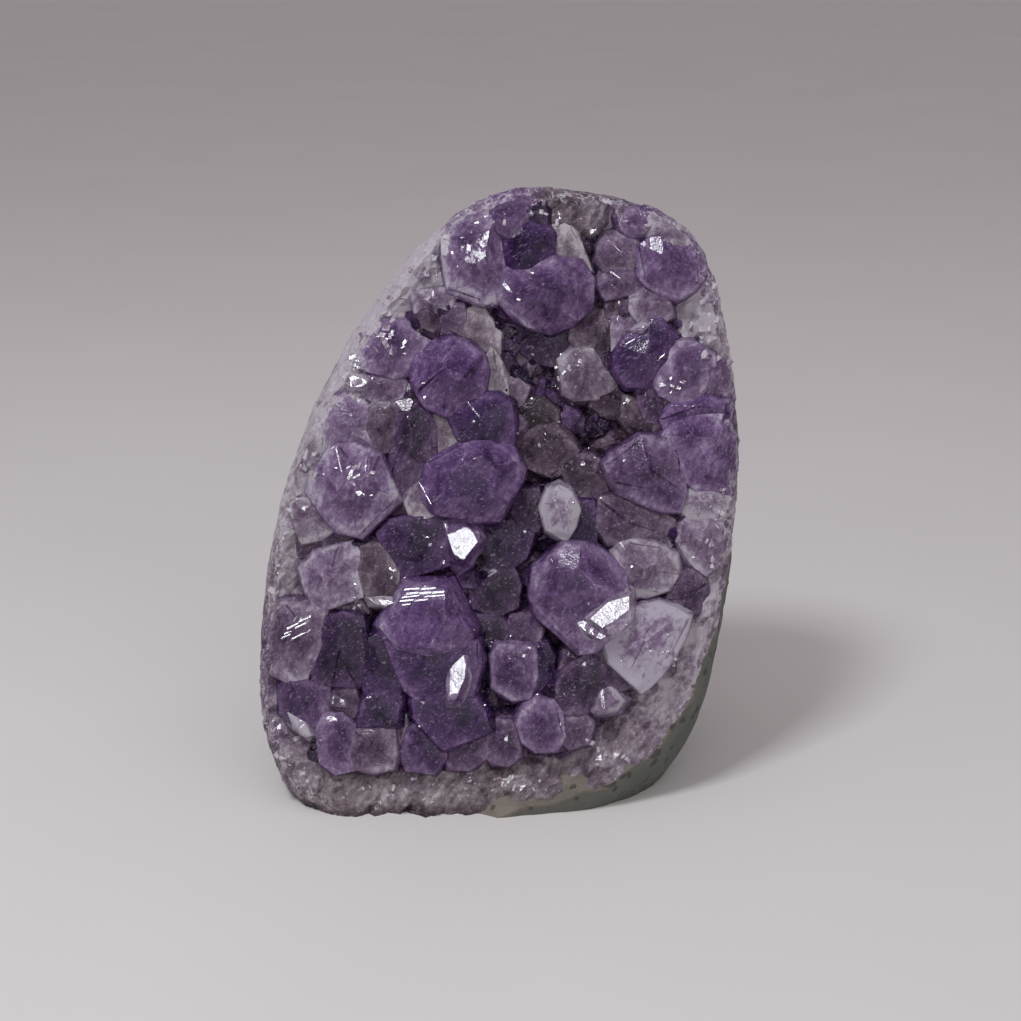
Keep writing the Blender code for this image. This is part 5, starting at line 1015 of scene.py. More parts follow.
def finish_crystal(bm, name, numbers, shoulder, outline):
    """Wears the edges, frames each facet, and stores the numbers that its material reads."""
    worn = [edge for edge in bm.edges if max(vert.co.z for vert in edge.verts) > shoulder - WORN_BELOW]
    bmesh.ops.bevel(bm, geom=worn, offset=EDGE_WEAR, segments=1, affect="EDGES", clamp_overlap=True)
    bmesh.ops.remove_doubles(bm, verts=bm.verts[:], dist=MERGE_WITHIN)
    points = [vert.co.copy() for vert in bm.verts]
    bm.free()
    bm = facet_hull(points)
    for face in [face for face in bm.faces if face.normal.z > 0.3]:
        middle = face.calc_center_median()
        nearest = min(((middle - edge.verts[0].co).cross(edge.verts[1].co - edge.verts[0].co)).length
                      / max(edge.calc_length(), 1e-6) for edge in face.edges)
        if nearest > SMALLEST_FACET:
            width = min(FRAME_WIDTH, FRAME_SHARE * nearest)
            bmesh.ops.inset_individual(bm, faces=[face], thickness=width, use_even_offset=True)
        else:
            face.material_index = 1
    bmesh.ops.triangulate(bm, faces=bm.faces[:])
    rims = []
    for vert in bm.verts:
        inside = min(1.0, inside_by(outline, vert.co.x, vert.co.y) / OUTLINE_BAND)
        # Below the outline the rim falls with depth down the sides, and the material darkens it there as
        # painted shade.
        rims.append(inside if inside > 0 else max(-1.0, (vert.co.z - shoulder) / SIDE_BAND))
    made = object_from(bm, name, CRYSTAL_BLANKS, [amethyst])
    rim = made.data.attributes.new("rim", "FLOAT", "CORNER")
    values = [rims[loop.vertex_index] for loop in made.data.loops]
    for face in made.data.polygons:
        if face.material_index:
            face.material_index = 0
            for index in face.loop_indices:
                values[index] = RIDGE_MARK if values[index] > 0.6 else values[index]
    rim.data.foreach_set("value", values)
    tint = made.data.attributes.new("tint", "FLOAT_VECTOR", "CORNER")
    tint.data.foreach_set("vector", numbers * len(made.data.loops))
    return made


def grow_crystal(number, name, tone, hue, shoulder, corners, tips, pane=()):
    """A crystal whose tip is cut by planes, or, with a pane, is the hull of its shoulder and the pane."""
    chance = random.Random(100 + number)
    outline, middle = convex_outline(corners), middle_of(corners)
    numbers = (tone + LOW_SHADE * max(0.0, LOW_SHOULDER - shoulder), hue, number * OWN_SHIFT)
    reach = max((Vector(corner) - middle).length for corner in corners)
    HEADS.append(Head(outline, middle, reach, shoulder, numbers))
    brim = shoulder if pane else max(tip[2] for tip in tips)
    bm = facet_hull(crystal_blank(brim, shoulder, corners) + [Vector(point) for point in pane])
    if not pane:
        cut_tip(bm, chance, shoulder, outline, tips)
    return finish_crystal(bm, name, numbers, shoulder, outline)


for number, (name, row) in enumerate(CRYSTALS.items()):
    grow_crystal(number, name, *row)
print("crystals grown:", len(HEADS))

# %% [markdown]
# A few crystals have a broad pane that mirrors the window and looks white. A pane mirrors it when it
# faces halfway between the window and the eye, so its facing is worked out once from those two
# directions, and the heights of the pane's corners follow from it. The rest of the crystal is a hull
# as before. The same is done for the hero, the big crystal at the lower left.
# %% Crystals with a pane that catches the window
WORLD_TO_FACE = FACE.to_3x3().inverted()


def catching_facing(point):
    """The facing that mirrors the window at the camera from a point, both in the face's frame."""
    at = FACE_MM @ Vector(point)
    halfway = (WINDOW_PLACE - at).normalized() + (camera.location - at).normalized()
    return WORLD_TO_FACE @ halfway.normalized()


def catching_height(u, v, middle, aside=(0.0, 0.0)):
    """Height at (u, v) of a plane through the middle (u, v, height) that mirrors the window.

    A slope aside turns it a little away, so that the mirror image fades across the pane."""
    facing = catching_facing(middle)
    du, dv = u - middle[0], v - middle[1]
    return middle[2] - (du * facing.x + dv * facing.y) / facing.z + du * aside[0] + dv * aside[1]


# name: (tone, hue, shoulder, middle of the pane (u, v, height), pane corners, other corners, other tips)
PANE_CRYSTALS = {
    "middle_pane": (.6, .9, -2.2, (-5.6, 41.2, -.6), [(-8, 43), (-5.9, 43.5), (-3.9, 42), (-3.2, 40.7),
        (-5.2, 38.2), (-6.6, 38.4), (-7.5, 40.8)], [(-8.3, 43.4), (-5.8, 44.1), (-3.4, 42.7),
        (-2.8, 40.6), (-4.4, 36.8), (-6, 36), (-7.4, 37.6)], []),
    "right_pane": (.2, .6, -1.6, (16.2, 30.4, 2.2), [(12.6, 29.8), (15.3, 32.2), (17.4, 32.7),
        (18.4, 33.2), (18.4, 29.9), (16.4, 28), (15.2, 28)], [(11.4, 30), (14.5, 32.8), (17.2, 34.2),
        (18.9, 33.6), (18.9, 29.4), (17, 27.4), (15.4, 26.6), (13.4, 27.4)], []),
    "chevron_pane": (.3, .6, -1.6, (12.9, 28.4, .9), [(10.4, 29.3), (11.5, 29.8), (15.2, 27.3),
        (14.2, 26.8), (12, 27.9)], [(9.9, 29.2), (11.4, 30.4), (15.9, 27.3), (14.6, 26.2),
        (11.8, 26.9)], []),
    "hero_pane": (.3, .7, -1.0, (-6.1, 21.0, 1.5), [(-7.4, 17.7), (-7.3, 22.4), (-6.2, 24.2),
        (-5.3, 24.6), (-4.9, 23), (-5.1, 21.2), (-6.3, 18.6)], [(-7.8, 17.2), (-7.7, 22.8),
        (-6.2, 25.0), (-4.4, 25), (-4.2, 21), (-5, 17.6), (-6.2, 17)], []),
    "low_blade": (.92, .9, -1.6, (-16.2, 15.4, -1.0), [(-18.7, 14.6), (-14.9, 17.3), (-14.9, 14.3)],
        [(-20.9, 13.6), (-20.2, 16.2), (-19.5, 19), (-15.2, 18.9), (-14.3, 18), (-14.4, 13.8),
        (-16, 13.3)], [(-19.6, 18.0, -.7)]),
    "low_bead_pane": (.5, .4, -1.8, (-23.4, 17.2, -1.1), [(-24.5, 16.8), (-24.2, 17.7), (-22.6, 17.7),
        (-22.5, 16.7)], [(-24.8, 16.5), (-24.4, 18.2), (-22.4, 18.2), (-22.2, 16.4)], []),
    "low_prism": (.25, .5, -2.0, (14.7, 17.2, -.9), [(13.6, 16.3), (14.7, 18.7), (15.5, 18.2),
        (15.2, 16.8), (14.5, 16.1)], [(13.3, 16), (14.7, 19.5), (16, 19.5), (18, 17.4), (16.8, 16),
        (14.5, 15.5)], [(16.2, 17.6, -1.2)]),
    "crescent_pane": (.3, .4, -2.2, (-21, 63.3, -1.4), [(-22.6, 64.1), (-21.9, 64.4), (-21, 63.7),
        (-20, 63.6), (-19.4, 63.9), (-19, 63.4), (-19.9, 62.8), (-21.3, 62.7)], [(-22.9, 64.2),
        (-21.8, 64.8), (-19.3, 64.4), (-18.7, 63.3), (-19.8, 62.4), (-21.4, 62.3)], []),
    "left_flash": (.1, .4, -1.8, (-17.2, 31.9, -1.0), [(-19, 32.3), (-17.2, 32.3), (-15.2, 31.8),
        (-16.6, 31.4), (-18.2, 31.7)], [(-19.4, 32.5), (-17, 32.8), (-14.9, 31.8), (-16.6, 31),
        (-18.4, 31.3)], []),
    "brow_flash": (.2, .6, -1.2, (20, 71.2, -.7), [(19, 71.1), (20.7, 71.6), (20.1, 70.8)], [(18.4, 71),
        (20.6, 72), (21.2, 71.6), (20.2, 70.4)], []),
    "foot_flash": (.1, .5, -1.8, (-28.9, 13.9, -1.3), [(-30.8, 15.9), (-29.6, 15.7), (-28.3, 13.4),
        (-27.3, 12.6), (-28.2, 12.3)], [(-31.2, 16.1), (-29.4, 16.2), (-27, 12.8), (-28.2, 11.8),
        (-30.2, 13.8)], []),
}
# How much a pane is turned aside, as a slope along u and one along v
PANE_SLOPES = {"middle_pane": (0.006, 0.0), "right_pane": (0.034, 0.0), "chevron_pane": (0.0, 0.036),
               "hero_pane": (0.022, 0.01), "left_flash": (0.02, 0.0), "low_blade": (0.01, 0.0),
               "low_prism": (0.035, 0.0)}
for number, (name, row) in enumerate(PANE_CRYSTALS.items(), 200):
    tone, hue, shoulder, middle, pane, corners, tips = row
    aside = PANE_SLOPES.get(name, (0.0, 0.0))
    raised = [(u, v, catching_height(u, v, middle, aside)) for u, v in pane]
    grow_crystal(number, name, tone, hue, shoulder, corners, [], tips + raised)

HERO_OUTLINE = [(-17.4, 28.3), (-13.8, 34.4), (-7.3, 34.3), (-4.1, 28.4), (-4.6, 25.2), (-10.4, 23.4),
                (-15.2, 25.2)]
HERO_STEPS = (-10.9, 33.2, 1.2)
HERO_TOP = [(-13.4, 34.2), (-7.6, 34.0), (-7.9, 32.7), (-14.4, 32.3)]
HERO_TIPS = [(-10.2, 25.8, 2.4), (-14.4, 25.6, 1.0), (-4.6, 28.0, .6), (-7.9, 29.8, 2.4),
             (-8.2, 31.4, 2.2)]
HERO_SLOPE = (0.0, 0.12)
raised = [(u, v, catching_height(u, v, HERO_STEPS, HERO_SLOPE)) for u, v in HERO_TOP]
grow_crystal(300, "hero", .44, 1, -.8, HERO_OUTLINE, [], HERO_TIPS + raised)
print("crystals with a pane:", len(PANE_CRYSTALS) + 1)

# %% [markdown]
# Now the layers are joined. A Boolean modifier takes a whole collection at once, and the Manifold
# solver is quick and keeps each face's material and stored numbers. The crystals are added to the
# quartz layer, the rounded stone trims them, and the rock's block and the saw cut away the rest.
# %% The crust of quartz and amethyst
# Where the rock's front lies: u, v, height
ROCK_FRONT = [
    (-36.0, 20.0, -22.0), (-34.0, 50.0, -19.0), (-20.0, 76.0, -15.0), (0.0, 93.0, -12.0),
    (26.0, 87.0, -11.0), (35.0, 62.0, -11.5), (35.0, 46.0, -8.0), (34.0, 33.0, -4.6),
    (31.5, 21.0, -2.2), (28.0, 11.0, -0.6), (21.0, 3.5, 0.2), (12.5, 0.5, 1.0), (5.0, -2.0, 0.6),
    (-9.0, -6.0, -1.6), (6.0, 7.5, -5.0), (14.0, 9.5, -5.6), (20.5, 14.0, -6.2), (25.5, 22.0, -7.6),
    (28.5, 33.0, -9.0), (-20.0, -5.0, -14.0), (-12.0, 12.0, -13.0), (6.0, 11.0, -10.0),
    (18.0, 15.0, -9.5), (25.0, 28.0, -11.0), (22.0, 55.0, -14.0), (0.0, 46.0, -15.0),
    (10.0, 30.0, -14.0), (-14.0, 30.0, -16.0),
]
ROCK_RELIEF = 0.5
ROCK_CELLS = (48, 56)
JOIN_GAP = 0.04


def rock_level(u, v):
    """Height of the rock's front, behind the quartz."""
    rough = noise.fractal(Vector((u, v, 7.0)) * 0.09, 0.9, 2.0, 3)
    return blend_points(ROCK_FRONT, u, v) + ROCK_RELIEF * rough


def below_table():
    bm = bmesh.new()
    bmesh.ops.create_cube(bm, size=BIG * MM)
    bmesh.ops.translate(bm, verts=bm.verts, vec=(0, 0, -BIG * MM / 2))
    mesh = bpy.data.meshes.new("below_table")
    bm.to_mesh(mesh)
    bm.free()
    made = bpy.data.objects.new("below_table", mesh)
    mesh.materials.append(pale_quartz)
    SHAPING.objects.link(made)
    return made


def combine(obj, operation, other):
    """Adds a Boolean with another object, or with every object of a collection."""
    step = obj.modifiers.new(operation.lower(), "BOOLEAN")
    step.operation = operation
    step.solver = "MANIFOLD"
    step.material_mode = "TRANSFER"
    if isinstance(other, bpy.types.Collection):
        step.operand_type = "COLLECTION"
        step.collection = other
    else:
        step.object = other


def keep_largest_piece(obj):
    """Drops the crumbs that the stone's outside may cut from crystals at the rim."""
    bm = bmesh.new()
    bm.from_mesh(obj.data)
    left = set(bm.verts)
    pieces = []
    while left:
        piece = [left.pop()]
        for vert in piece:
            for edge in vert.link_edges:
                other = edge.other_vert(vert)
                if other in left:
                    left.remove(other)
                    piece.append(other)
        pieces.append(piece)
    pieces.sort(key=len)
    bmesh.ops.delete(bm, geom=[vert for piece in pieces[:-1] for vert in piece], context="VERTS")
    bm.to_mesh(obj.data)
    bm.free()


saw = below_table()
rock_front = block_behind("rock_front", rock_level, ROCK_CELLS, [pale_quartz])
combine(quartz_layer, "UNION", CRYSTAL_BLANKS)
combine(quartz_layer, "INTERSECT", whole_stone)
combine(quartz_layer, "DIFFERENCE", rock_front)
combine(quartz_layer, "DIFFERENCE", saw)
crust = plain_mesh(quartz_layer, "crystal_crust", PIECES)
keep_largest_piece(crust)
print("crust:", len(crust.data.polygons), "faces, materials", [slot.name for slot in crust.data.materials])

# %% [markdown]
# The grinding cut through the outer crystals, and a sliced crystal shows its own colour in the cut. The
# Boolean gave those cut faces the ground quartz of the stone's outside. So each one that lies inside a
# crystal's outline, near that crystal's height, is given that crystal's material and numbers.
# %% The colour of crystals that were ground through
DEEPEST_CUT = -6.0
BELOW_SHOULDER = 2.5
CLEARLY_INSIDE = 0.15


def colour_cut_crystals(mesh):
    """Where the stone's outside cuts through a crystal, the cut keeps that crystal's colour."""
    ground, clear = mesh.materials.find(pale_quartz.name), mesh.materials.find(amethyst.name)
    tint, rim = mesh.attributes["tint"].data, mesh.attributes["rim"].data
    changed = 0
    for face in mesh.polygons:
        at = TO_FACE @ face.center
        if face.material_index != ground or at.z < DEEPEST_CUT:
            continue
        near = [head for head in HEADS if (at.xy - head.middle).length < head.reach
                and at.z > head.shoulder - BELOW_SHOULDER]
        if not near:
            continue
        head = max(near, key=lambda head: inside_by(head.outline, at.x, at.y))
        if inside_by(head.outline, at.x, at.y) < CLEARLY_INSIDE:
            continue
        face.material_index = clear
        changed += 1
        for index in face.loop_indices:
            corner = TO_FACE @ mesh.vertices[mesh.loops[index].vertex_index].co
            tint[index].vector = head.numbers
            rim[index].value = held(inside_by(head.outline, corner.x, corner.y) / OUTLINE_BAND)
    return changed


print("cut faces coloured:", colour_cut_crystals(crust.data))

# %% [markdown]
# The rock is what is left of the rounded stone behind the quartz. Every point of its mesh stores how
# far behind the quartz it lies, for the tan line in its material.
# %% The rind of rock
rock = block_behind("rock_block", lambda u, v: rock_level(u, v) - JOIN_GAP, ROCK_CELLS, [rock_rind])
combine(rock, "INTERSECT", whole_stone)
combine(rock, "DIFFERENCE", saw)
rind = plain_mesh(rock, "rock_rind", PIECES)
keep_largest_piece(rind)
rind.data.materials.clear()
rind.data.materials.append(rock_rind)
for face in rind.data.polygons:
    face.material_index = 0
behind_quartz = rind.data.attributes.new("behind_quartz", "FLOAT", "POINT")
for vert in rind.data.vertices:
    at = TO_FACE @ vert.co
    behind_quartz.data[vert.index].value = rock_level(at.x, at.y) - at.z
print("rind:", len(rind.data.polygons), "faces")

# %% [markdown]
# Hundreds of crystals a millimetre or two long fill the gaps and the gully. They repeat, so they are
# instances that Geometry Nodes sets on a cloud of points: each gets its own turn, lean, size and tint
# from one seed. First comes the one crystal that is repeated, and the points, which are chosen where
# no large crystal stands and well inside the ground rim.
# %% One small crystal, and the points where such crystals stand
SIDES = 6
DRUSE_TIP = (0.12, 0.05, 1.05)
DRUSE_AREA = ((-34, 34), (9, 90))
CLEAR_OF_RIM = 7.5


def druse_crystal():
    """One small crystal on Z: six sides and a six-sided tip, one unit in radius."""
    bm = bmesh.new()
    turns = [math.radians(360 / SIDES * i) for i in range(SIDES)]
    root, shoulder = [[bm.verts.new((size * math.cos(turn), size * math.sin(turn), height))
                       for turn in turns] for size, height in ((0.9, -2.4), (1.0, 0.0))]
    tip = bm.verts.new(DRUSE_TIP)
    bm.faces.new(root[::-1])
    for i in range(SIDES):
        j = (i + 1) % SIDES
        bm.faces.new((root[i], root[j], shoulder[j], shoulder[i]))
        bm.faces.new((shoulder[i], shoulder[j], tip))
    bmesh.ops.recalc_face_normals(bm, faces=bm.faces)
    heights = [vert.co.z for vert in bm.verts]
    mesh = bpy.data.meshes.new("druse_crystal")
    bm.to_mesh(mesh)
    bm.free()
    mesh.materials.append(small_amethyst)
    # The root gets a rim below 0, which the material darkens as painted shade.
    rims = [1.0 if height > 0.5 else 0.12 if height > -1 else -0.8 for height in heights]
    rim = mesh.attributes.new("rim", "FLOAT", "POINT")
    rim.data.foreach_set("value", rims)
    made = bpy.data.objects.new("druse_crystal", mesh)
    SHAPING.objects.link(made)
    return made


def druse_points(name, tries, clear, lift, seed):
    """A mesh of loose points where small crystals stand, in the gaps that the large ones leave.

    None stand at the lower right, where the ground rim is wide."""
    chance = random.Random(seed)
    spots = []
    for _ in range(tries):
        u, v = (chance.uniform(*limits) for limits in DRUSE_AREA)
        lower_right = u > 9 and v < max(17, u + 4)
        if inset_from_outline(u, v) < CLEAR_OF_RIM or lower_right:
            continue
        if max(inside_by(head.outline, u, v) for head in HEADS) > -clear:
            continue
        spots.append(Vector((u, v, druse_floor(u, v) + lift + chance.uniform(-0.5, 0.5))))
    mesh = bpy.data.meshes.new(name)
    mesh.from_pydata([FACE_MM @ spot for spot in spots], [], [])
    made = bpy.data.objects.new(name, mesh)
    PIECES.objects.link(made)
    return made


# %% [markdown]
# The tree takes the points and the crystal, and its sizes have named inputs. A Random Value node for
# each of turn, size and tint draws from the same seed with its own number added. Realize Instances
# turns the instances into plain faces, and the tint goes with them as an attribute.
# %% The tree that scatters small crystals
DRUSE_TINTS = ((0.55, 0.1, 0), (1.15, 0.9, 900))


def druse_tree():
    tree = bpy.data.node_groups.new("druse_scatter", "GeometryNodeTree")
    for label, kind in (("Points", "Geometry"), ("Crystal", "Object"), ("Smallest", "Float"),
                        ("Largest", "Float"), ("Lean", "Float"), ("Facing", "Vector"), ("Seed", "Int"),
                        ("Finish", "Material")):
        tree.interface.new_socket(label, in_out="INPUT", socket_type="NodeSocket" + kind)
    tree.interface.new_socket("Druse", in_out="OUTPUT", socket_type="NodeSocketGeometry")
    given = tree.nodes.new("NodeGroupInput").outputs
    result = tree.nodes.new("NodeGroupOutput").inputs

    def drawn(low, high, extra):
        """A random number, or vector, between two limits."""
        number = isinstance(low, bpy.types.NodeSocket)
        kind, sockets = ("FLOAT", ("_2", "_3")) if number else ("FLOAT_VECTOR", ("_0", "_1"))
        seed = maths(tree, "ADD", given["Seed"], extra)
        return add_node(tree, "FunctionNodeRandomValue", {"data_type": kind}, 1 if number else 0,
                        **dict(zip(sockets, (low, high))), _8=seed)

    points = add_node(tree, "GeometryNodeMeshToPoints", None, _0=given["Points"])
    one = add_node(tree, "GeometryNodeObjectInfo", None, "Geometry", Object=given["Crystal"])
    upright = add_node(tree, "FunctionNodeAlignRotationToVector", {"axis": "Z"}, _2=given["Facing"])
    turns = drawn((-1, -1, -5), (1, 1, 5), 1)
    turns = add_node(tree, "ShaderNodeVectorMath", {"operation": "SCALE"}, _0=turns, Scale=given["Lean"])
    turns = add_node(tree, "FunctionNodeEulerToRotation", None, _0=turns)
    turned = add_node(tree, "FunctionNodeRotateRotation", {"rotation_space": "LOCAL"}, _0=upright, _1=turns)
    placed = add_node(tree, "GeometryNodeInstanceOnPoints", None, Points=points, Instance=one,
                      Rotation=turned, Scale=drawn(given["Smallest"], given["Largest"], 2))
    on_instances = {"data_type": "FLOAT_VECTOR", "domain": "INSTANCE"}
    tinted = add_node(tree, "GeometryNodeStoreNamedAttribute", on_instances, _0=placed, _2="tint",
                      _3=drawn(*DRUSE_TINTS, 3))
    real = add_node(tree, "GeometryNodeRealizeInstances", None, _0=tinted)
    finished = add_node(tree, "GeometryNodeSetMaterial", None, Geometry=real, Material=given["Finish"])
    tree.links.new(finished, result["Druse"])
    return tree


# %% [markdown]
# Two druses are scattered with that tree: one of tiny crystals on the floor of the gaps, and one of
# larger crystals that push in between the big ones. Each modifier's inputs are set by their sockets'
# identifiers, and the result is kept as a plain mesh without the modifier.
# %% The two druses
# name: (tries, smallest and largest radius, how clear of the large crystals, how far raised, seed)
DRUSES = {"druse": (5200, 0.5, 1.3, 0.15, 0.0, 5), "gap_crystals": (1500, 1.3, 2.5, -0.7, 0.3, 8)}
DRUSE_LEAN = 0.6

scatter_tree, one_crystal = druse_tree(), druse_crystal()
druses = []
for name, (tries, smallest, largest, clear, lift, seed) in DRUSES.items():
    points = druse_points(name, tries, clear, lift, seed)
    print(name + ":", len(points.data.vertices), "crystals")
    scatter = points.modifiers.new("scatter", "NODES")
    scatter.node_group = scatter_tree
    values = {"Crystal": one_crystal, "Smallest": smallest * MM, "Largest": largest * MM, "Lean": DRUSE_LEAN,
              "Facing": FACE.to_3x3() @ Vector((0, 0, 1)), "Seed": seed, "Finish": small_amethyst}
    for socket in scatter_tree.interface.items_tree:
        if socket.name in values:
            scatter[socket.identifier] = values[socket.name]
    druses.append(plain_mesh(points, name, PIECES))

# %% [markdown]
# Here and there the quartz is chipped or grown in thin steps, and each little step that faces halfway
# between the window and the eye flashes white. They are modelled as what they are: thin flakes that
# stand on the crystals, nearly all with that facing. The chips of the ground rim are made the same way
# and turn more. A ray cast onto the crust finds where each one sits.
# %% Where the flakes and growth steps are
# Flakes strewn over an area: middle (u, v), half width and half height, how many, their length in mm
FLAKE_AREAS = [
    (-21.0, 49.2, 2.6, 2.4, 16, 0.9), (-15.6, 69.2, 2.6, 1.8, 9, 0.9), (-15.6, 35.8, 0.5, 1.2, 3, 1.0),
    (-20.8, 32.6, 0.5, 3.4, 8, 0.6), (-3.6, 83.2, 2.4, 3.3, 4, 0.9), (19.2, 86.8, 1.6, 1.0, 4, 0.7),
    (24.6, 63.0, 1.6, 1.2, 7, 0.8), (31.0, 48.2, 1.2, 0.6, 3, 0.8), (-21.0, 66.4, 0.7, 1.2, 5, 1.0),
    (9.0, 63.8, 1.2, 2.0, 5, 0.8), (0.6, 12.1, 0.2, 0.2, 1, 0.9), (20.8, 26.2, 4.0, 4.0, 10, 0.5),
    (5.0, 60.0, 4.0, 8.0, 8, 0.5), (14.0, 56.0, 4.0, 5.0, 6, 0.45), (-2.0, 20.0, 14.0, 8.0, 10, 0.45),
    (0.0, 70.0, 22.0, 12.0, 14, 0.5), (10.0, 40.0, 20.0, 14.0, 14, 0.45),
    (-14.0, 40.0, 10.0, 6.0, 8, 0.5),
]
# Chips of the ground rim, in the same way
RIM_CHIPS = [
    (-33.6, 36.0, 1.6, 5.0, 14, 1.3), (-31.0, 46.0, 2.0, 5.0, 18, 1.5),
    (-28.0, 56.0, 2.2, 5.0, 18, 1.5), (-22.5, 65.0, 2.2, 4.0, 12, 1.4),
    (-18.0, 72.0, 2.8, 4.0, 18, 1.5), (-13.0, 78.6, 3.0, 3.4, 18, 1.5), (-9.0, 83.6, 2.0, 2.4, 9, 1.3),
    (30.6, 72.0, 2.2, 6.0, 26, 1.4), (27.0, 71.0, 1.6, 2.6, 8, 1.2), (31.0, 42.0, 1.6, 5.0, 10, 1.1),
    (-8.0, 4.2, 17.0, 2.4, 26, 1.0), (13.0, 8.4, 7.0, 3.4, 14, 1.0), (-30.5, 9.0, 3.0, 4.0, 12, 1.0),
    (8.0, 88.0, 8.0, 2.0, 10, 0.9), (24.0, 20.0, 3.0, 6.0, 8, 1.0),
]
# Single steps: start (u, v), end (u, v), width
STEPS = [
    ((-13.9, 33.9), (-9.2, 34.1), 0.30), ((-13.6, 33.3), (-8.0, 33.6), 0.34),
    ((-14.3, 32.8), (-11.6, 33.0), 0.22), ((-11.0, 33.0), (-7.9, 33.1), 0.24),
    ((-14.5, 32.3), (-10.3, 32.5), 0.26), ((-14.2, 31.7), (-12.8, 31.9), 0.18),
    ((-31.2, 27.2), (-28.0, 29.0), 0.22), ((-30.8, 28.0), (-27.4, 29.9), 0.26),
    ((-31.6, 26.6), (-29.4, 27.8), 0.18), ((-30.2, 26.4), (-27.4, 28.0), 0.18),
    ((-11.7, 49.2), (-9.9, 45.9), 0.16), ((2.0, 67.4), (2.0, 71.4), 0.09),
    ((11.6, 28.8), (12.2, 27.9), 0.2), ((12.8, 28.2), (13.3, 27.4), 0.2),
    ((17.8, 68.9), (19.2, 69.6), 0.16), ((22.3, 66.5), (23.4, 67.5), 0.16),
    ((-16.6, 32.2), (-15.4, 31.7), 0.2),
]


# %% [markdown]
# One flake is a thin wedge with four corners on top, none of them square, because chips never are. The
# strewn ones get a random place, turn and size from one seed, and the steps are laid end to end along
# their lines. All of them go into one mesh, standing where a ray from the front meets the crust.
# %% Making and laying the flakes
FLAKE_RISE = 0.10
FLAKE_THICKNESS = 0.45
STEP_PIECE = 2.2
RAY_START = 12
FLAKE_RIM = 0.5


def flake(bm, place, along, length, width, facing):
    """A thin wedge standing on the surface, its top turned to the given facing."""
    across = facing.cross(along).normalized()
    along = across.cross(facing).normalized()
    top = []
    for side, end in ((-1, -1), (1, -0.8), (0.8, 1), (-1, 0.9)):
        flat = place + along * end * length / 2 + across * side * width / 2
        top.append(bm.verts.new(flat + facing * FLAKE_RISE))
    low = [bm.verts.new(vert.co - facing * FLAKE_THICKNESS) for vert in top]
    bm.faces.new(top)
    bm.faces.new(low[::-1])
    for i in range(4):
        j = (i + 1) % 4
        bm.faces.new((top[j], top[i], low[i], low[j]))


def strewn(areas, chance, stray):
    """Flakes at random over the areas: place, direction, length, width and how far each may turn."""
    rows = []
    for u, v, wide, high, count, length in areas:
        for _ in range(count):
            turn = chance.uniform(0, math.pi)
            long = length * chance.uniform(0.45, 1.3)
            at = (u + chance.uniform(-wide, wide), v + chance.uniform(-high, high))
            along = Vector((math.cos(turn), math.sin(turn), 0))
            rows.append((*at, along, long, long * chance.uniform(0.25, 0.75), stray))
    return rows


def stepped(steps):
    """The steps, each in pieces about two millimetres long."""
    rows = []
    for (u0, v0), (u1, v1), width in steps:
        length = math.dist((u0, v0), (u1, v1))
        along = Vector((u1 - u0, v1 - v0, 0)).normalized()
        count = max(1, round(length / STEP_PIECE))
        for i in range(count):
            share = (i + 0.5) / count
            at = (u0 + (u1 - u0) * share, v0 + (v1 - v0) * share)
            rows.append((*at, along, length / count, width, 0.0))
    return rows


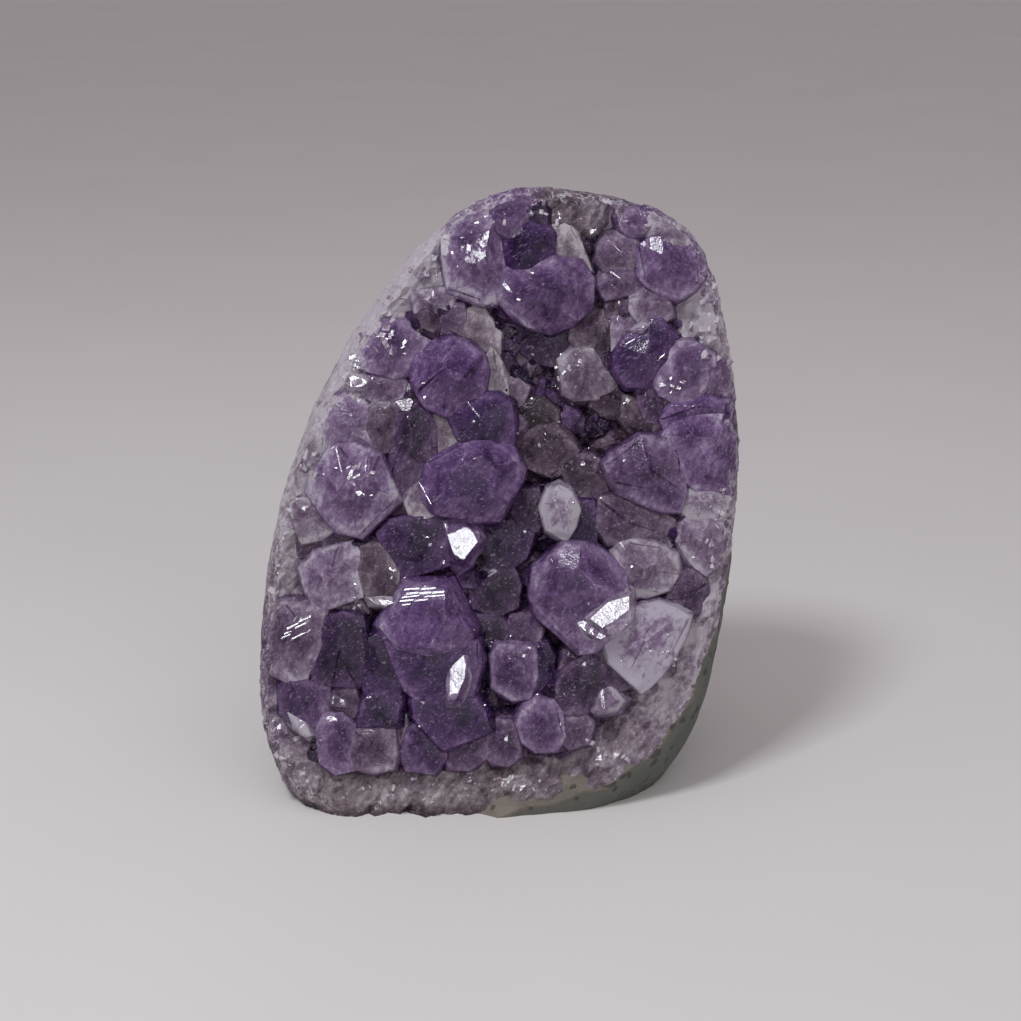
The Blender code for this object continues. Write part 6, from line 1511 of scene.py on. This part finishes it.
def lay_flakes(name, rows, chance, finish, numbers, deepest):
    """The flakes and steps of some rows, in one mesh, each standing where a ray meets the crust."""
    bm = bmesh.new()
    for u, v, along, length, width, stray in rows:
        hit = SURFACE.ray_cast(Vector((u, v, RAY_START)), Vector((0, 0, -1)))[0]
        if hit is None or hit.z < deepest:
            continue
        facing = catching_facing(hit)
        facing += Vector((chance.gauss(0, 1), chance.gauss(0, 1), 0)) * stray
        flake(bm, hit, along, length, width, facing.normalized())
    made = object_from(bm, name, PIECES, [finish])
    tint = made.data.attributes.new("tint", "FLOAT_VECTOR", "POINT")
    tint.data.foreach_set("vector", numbers * len(made.data.vertices))
    rim = made.data.attributes.new("rim", "FLOAT", "POINT")
    rim.data.foreach_set("value", [FLAKE_RIM] * len(made.data.vertices))
    print(name + ":", len(made.data.polygons) // 6)
    return made


SURFACE = BVHTree.FromPolygons([TO_FACE @ vert.co for vert in crust.data.vertices],
                               [face.vertices[:] for face in crust.data.polygons])
flake_chance = random.Random(31)
flake_rows = strewn(FLAKE_AREAS, flake_chance, 0.05) + stepped(STEPS)
flakes = lay_flakes("flakes", flake_rows, flake_chance, small_amethyst, (0.05, 0.5, 0.0), -9.0)
rim_chips = lay_flakes("rim_chips", strewn(RIM_CHIPS, flake_chance, 0.16), flake_chance, pale_quartz,
                       (-0.1, 0.4, 0.0), -4.2)

# %% [markdown]
# The object stands on a plain floor, which isn't part of the object.
# %% Floor
FLOOR_HALF = 3.0
floor_mesh = bpy.data.meshes.new("floor")
bm = bmesh.new()
bmesh.ops.create_grid(bm, x_segments=1, y_segments=1, size=FLOOR_HALF)
bm.to_mesh(floor_mesh)
bm.free()
floor = bpy.data.objects.new("floor", floor_mesh)
PIECES.objects.link(floor)
pale_floor, tree, shader = new_material("pale_floor", Roughness=0.75)
spot = add_node(tree, "ShaderNodeTexCoord", None, "Object")
tree.links.new(mix_colour(tree, cloud(tree, spot, 14.0), (0.74, 0.72, 0.71, 1), (0.80, 0.78, 0.77, 1)),
               shader.inputs["Base Color"])
floor_mesh.materials.append(pale_floor)
print("floor:", 2 * FLOOR_HALF, "m across")

# %% [markdown]
# What was only used for shaping is removed, so that nothing but the finished pieces is left. The crust
# stands for the plain model's crystals, and the rind for its rock.
# %% Hand the pieces over
for obj in list(SHAPING.objects) + list(CRYSTAL_BLANKS.objects):
    bpy.data.objects.remove(obj, do_unlink=True)
for piece, node, slot in ((crust, "amethyst_crystals", "amethyst"), (rind, "rock_matrix", "basalt")):
    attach(piece, "root")
    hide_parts(node)
for piece in (*druses, flakes, rim_chips):
    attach(piece, "root")
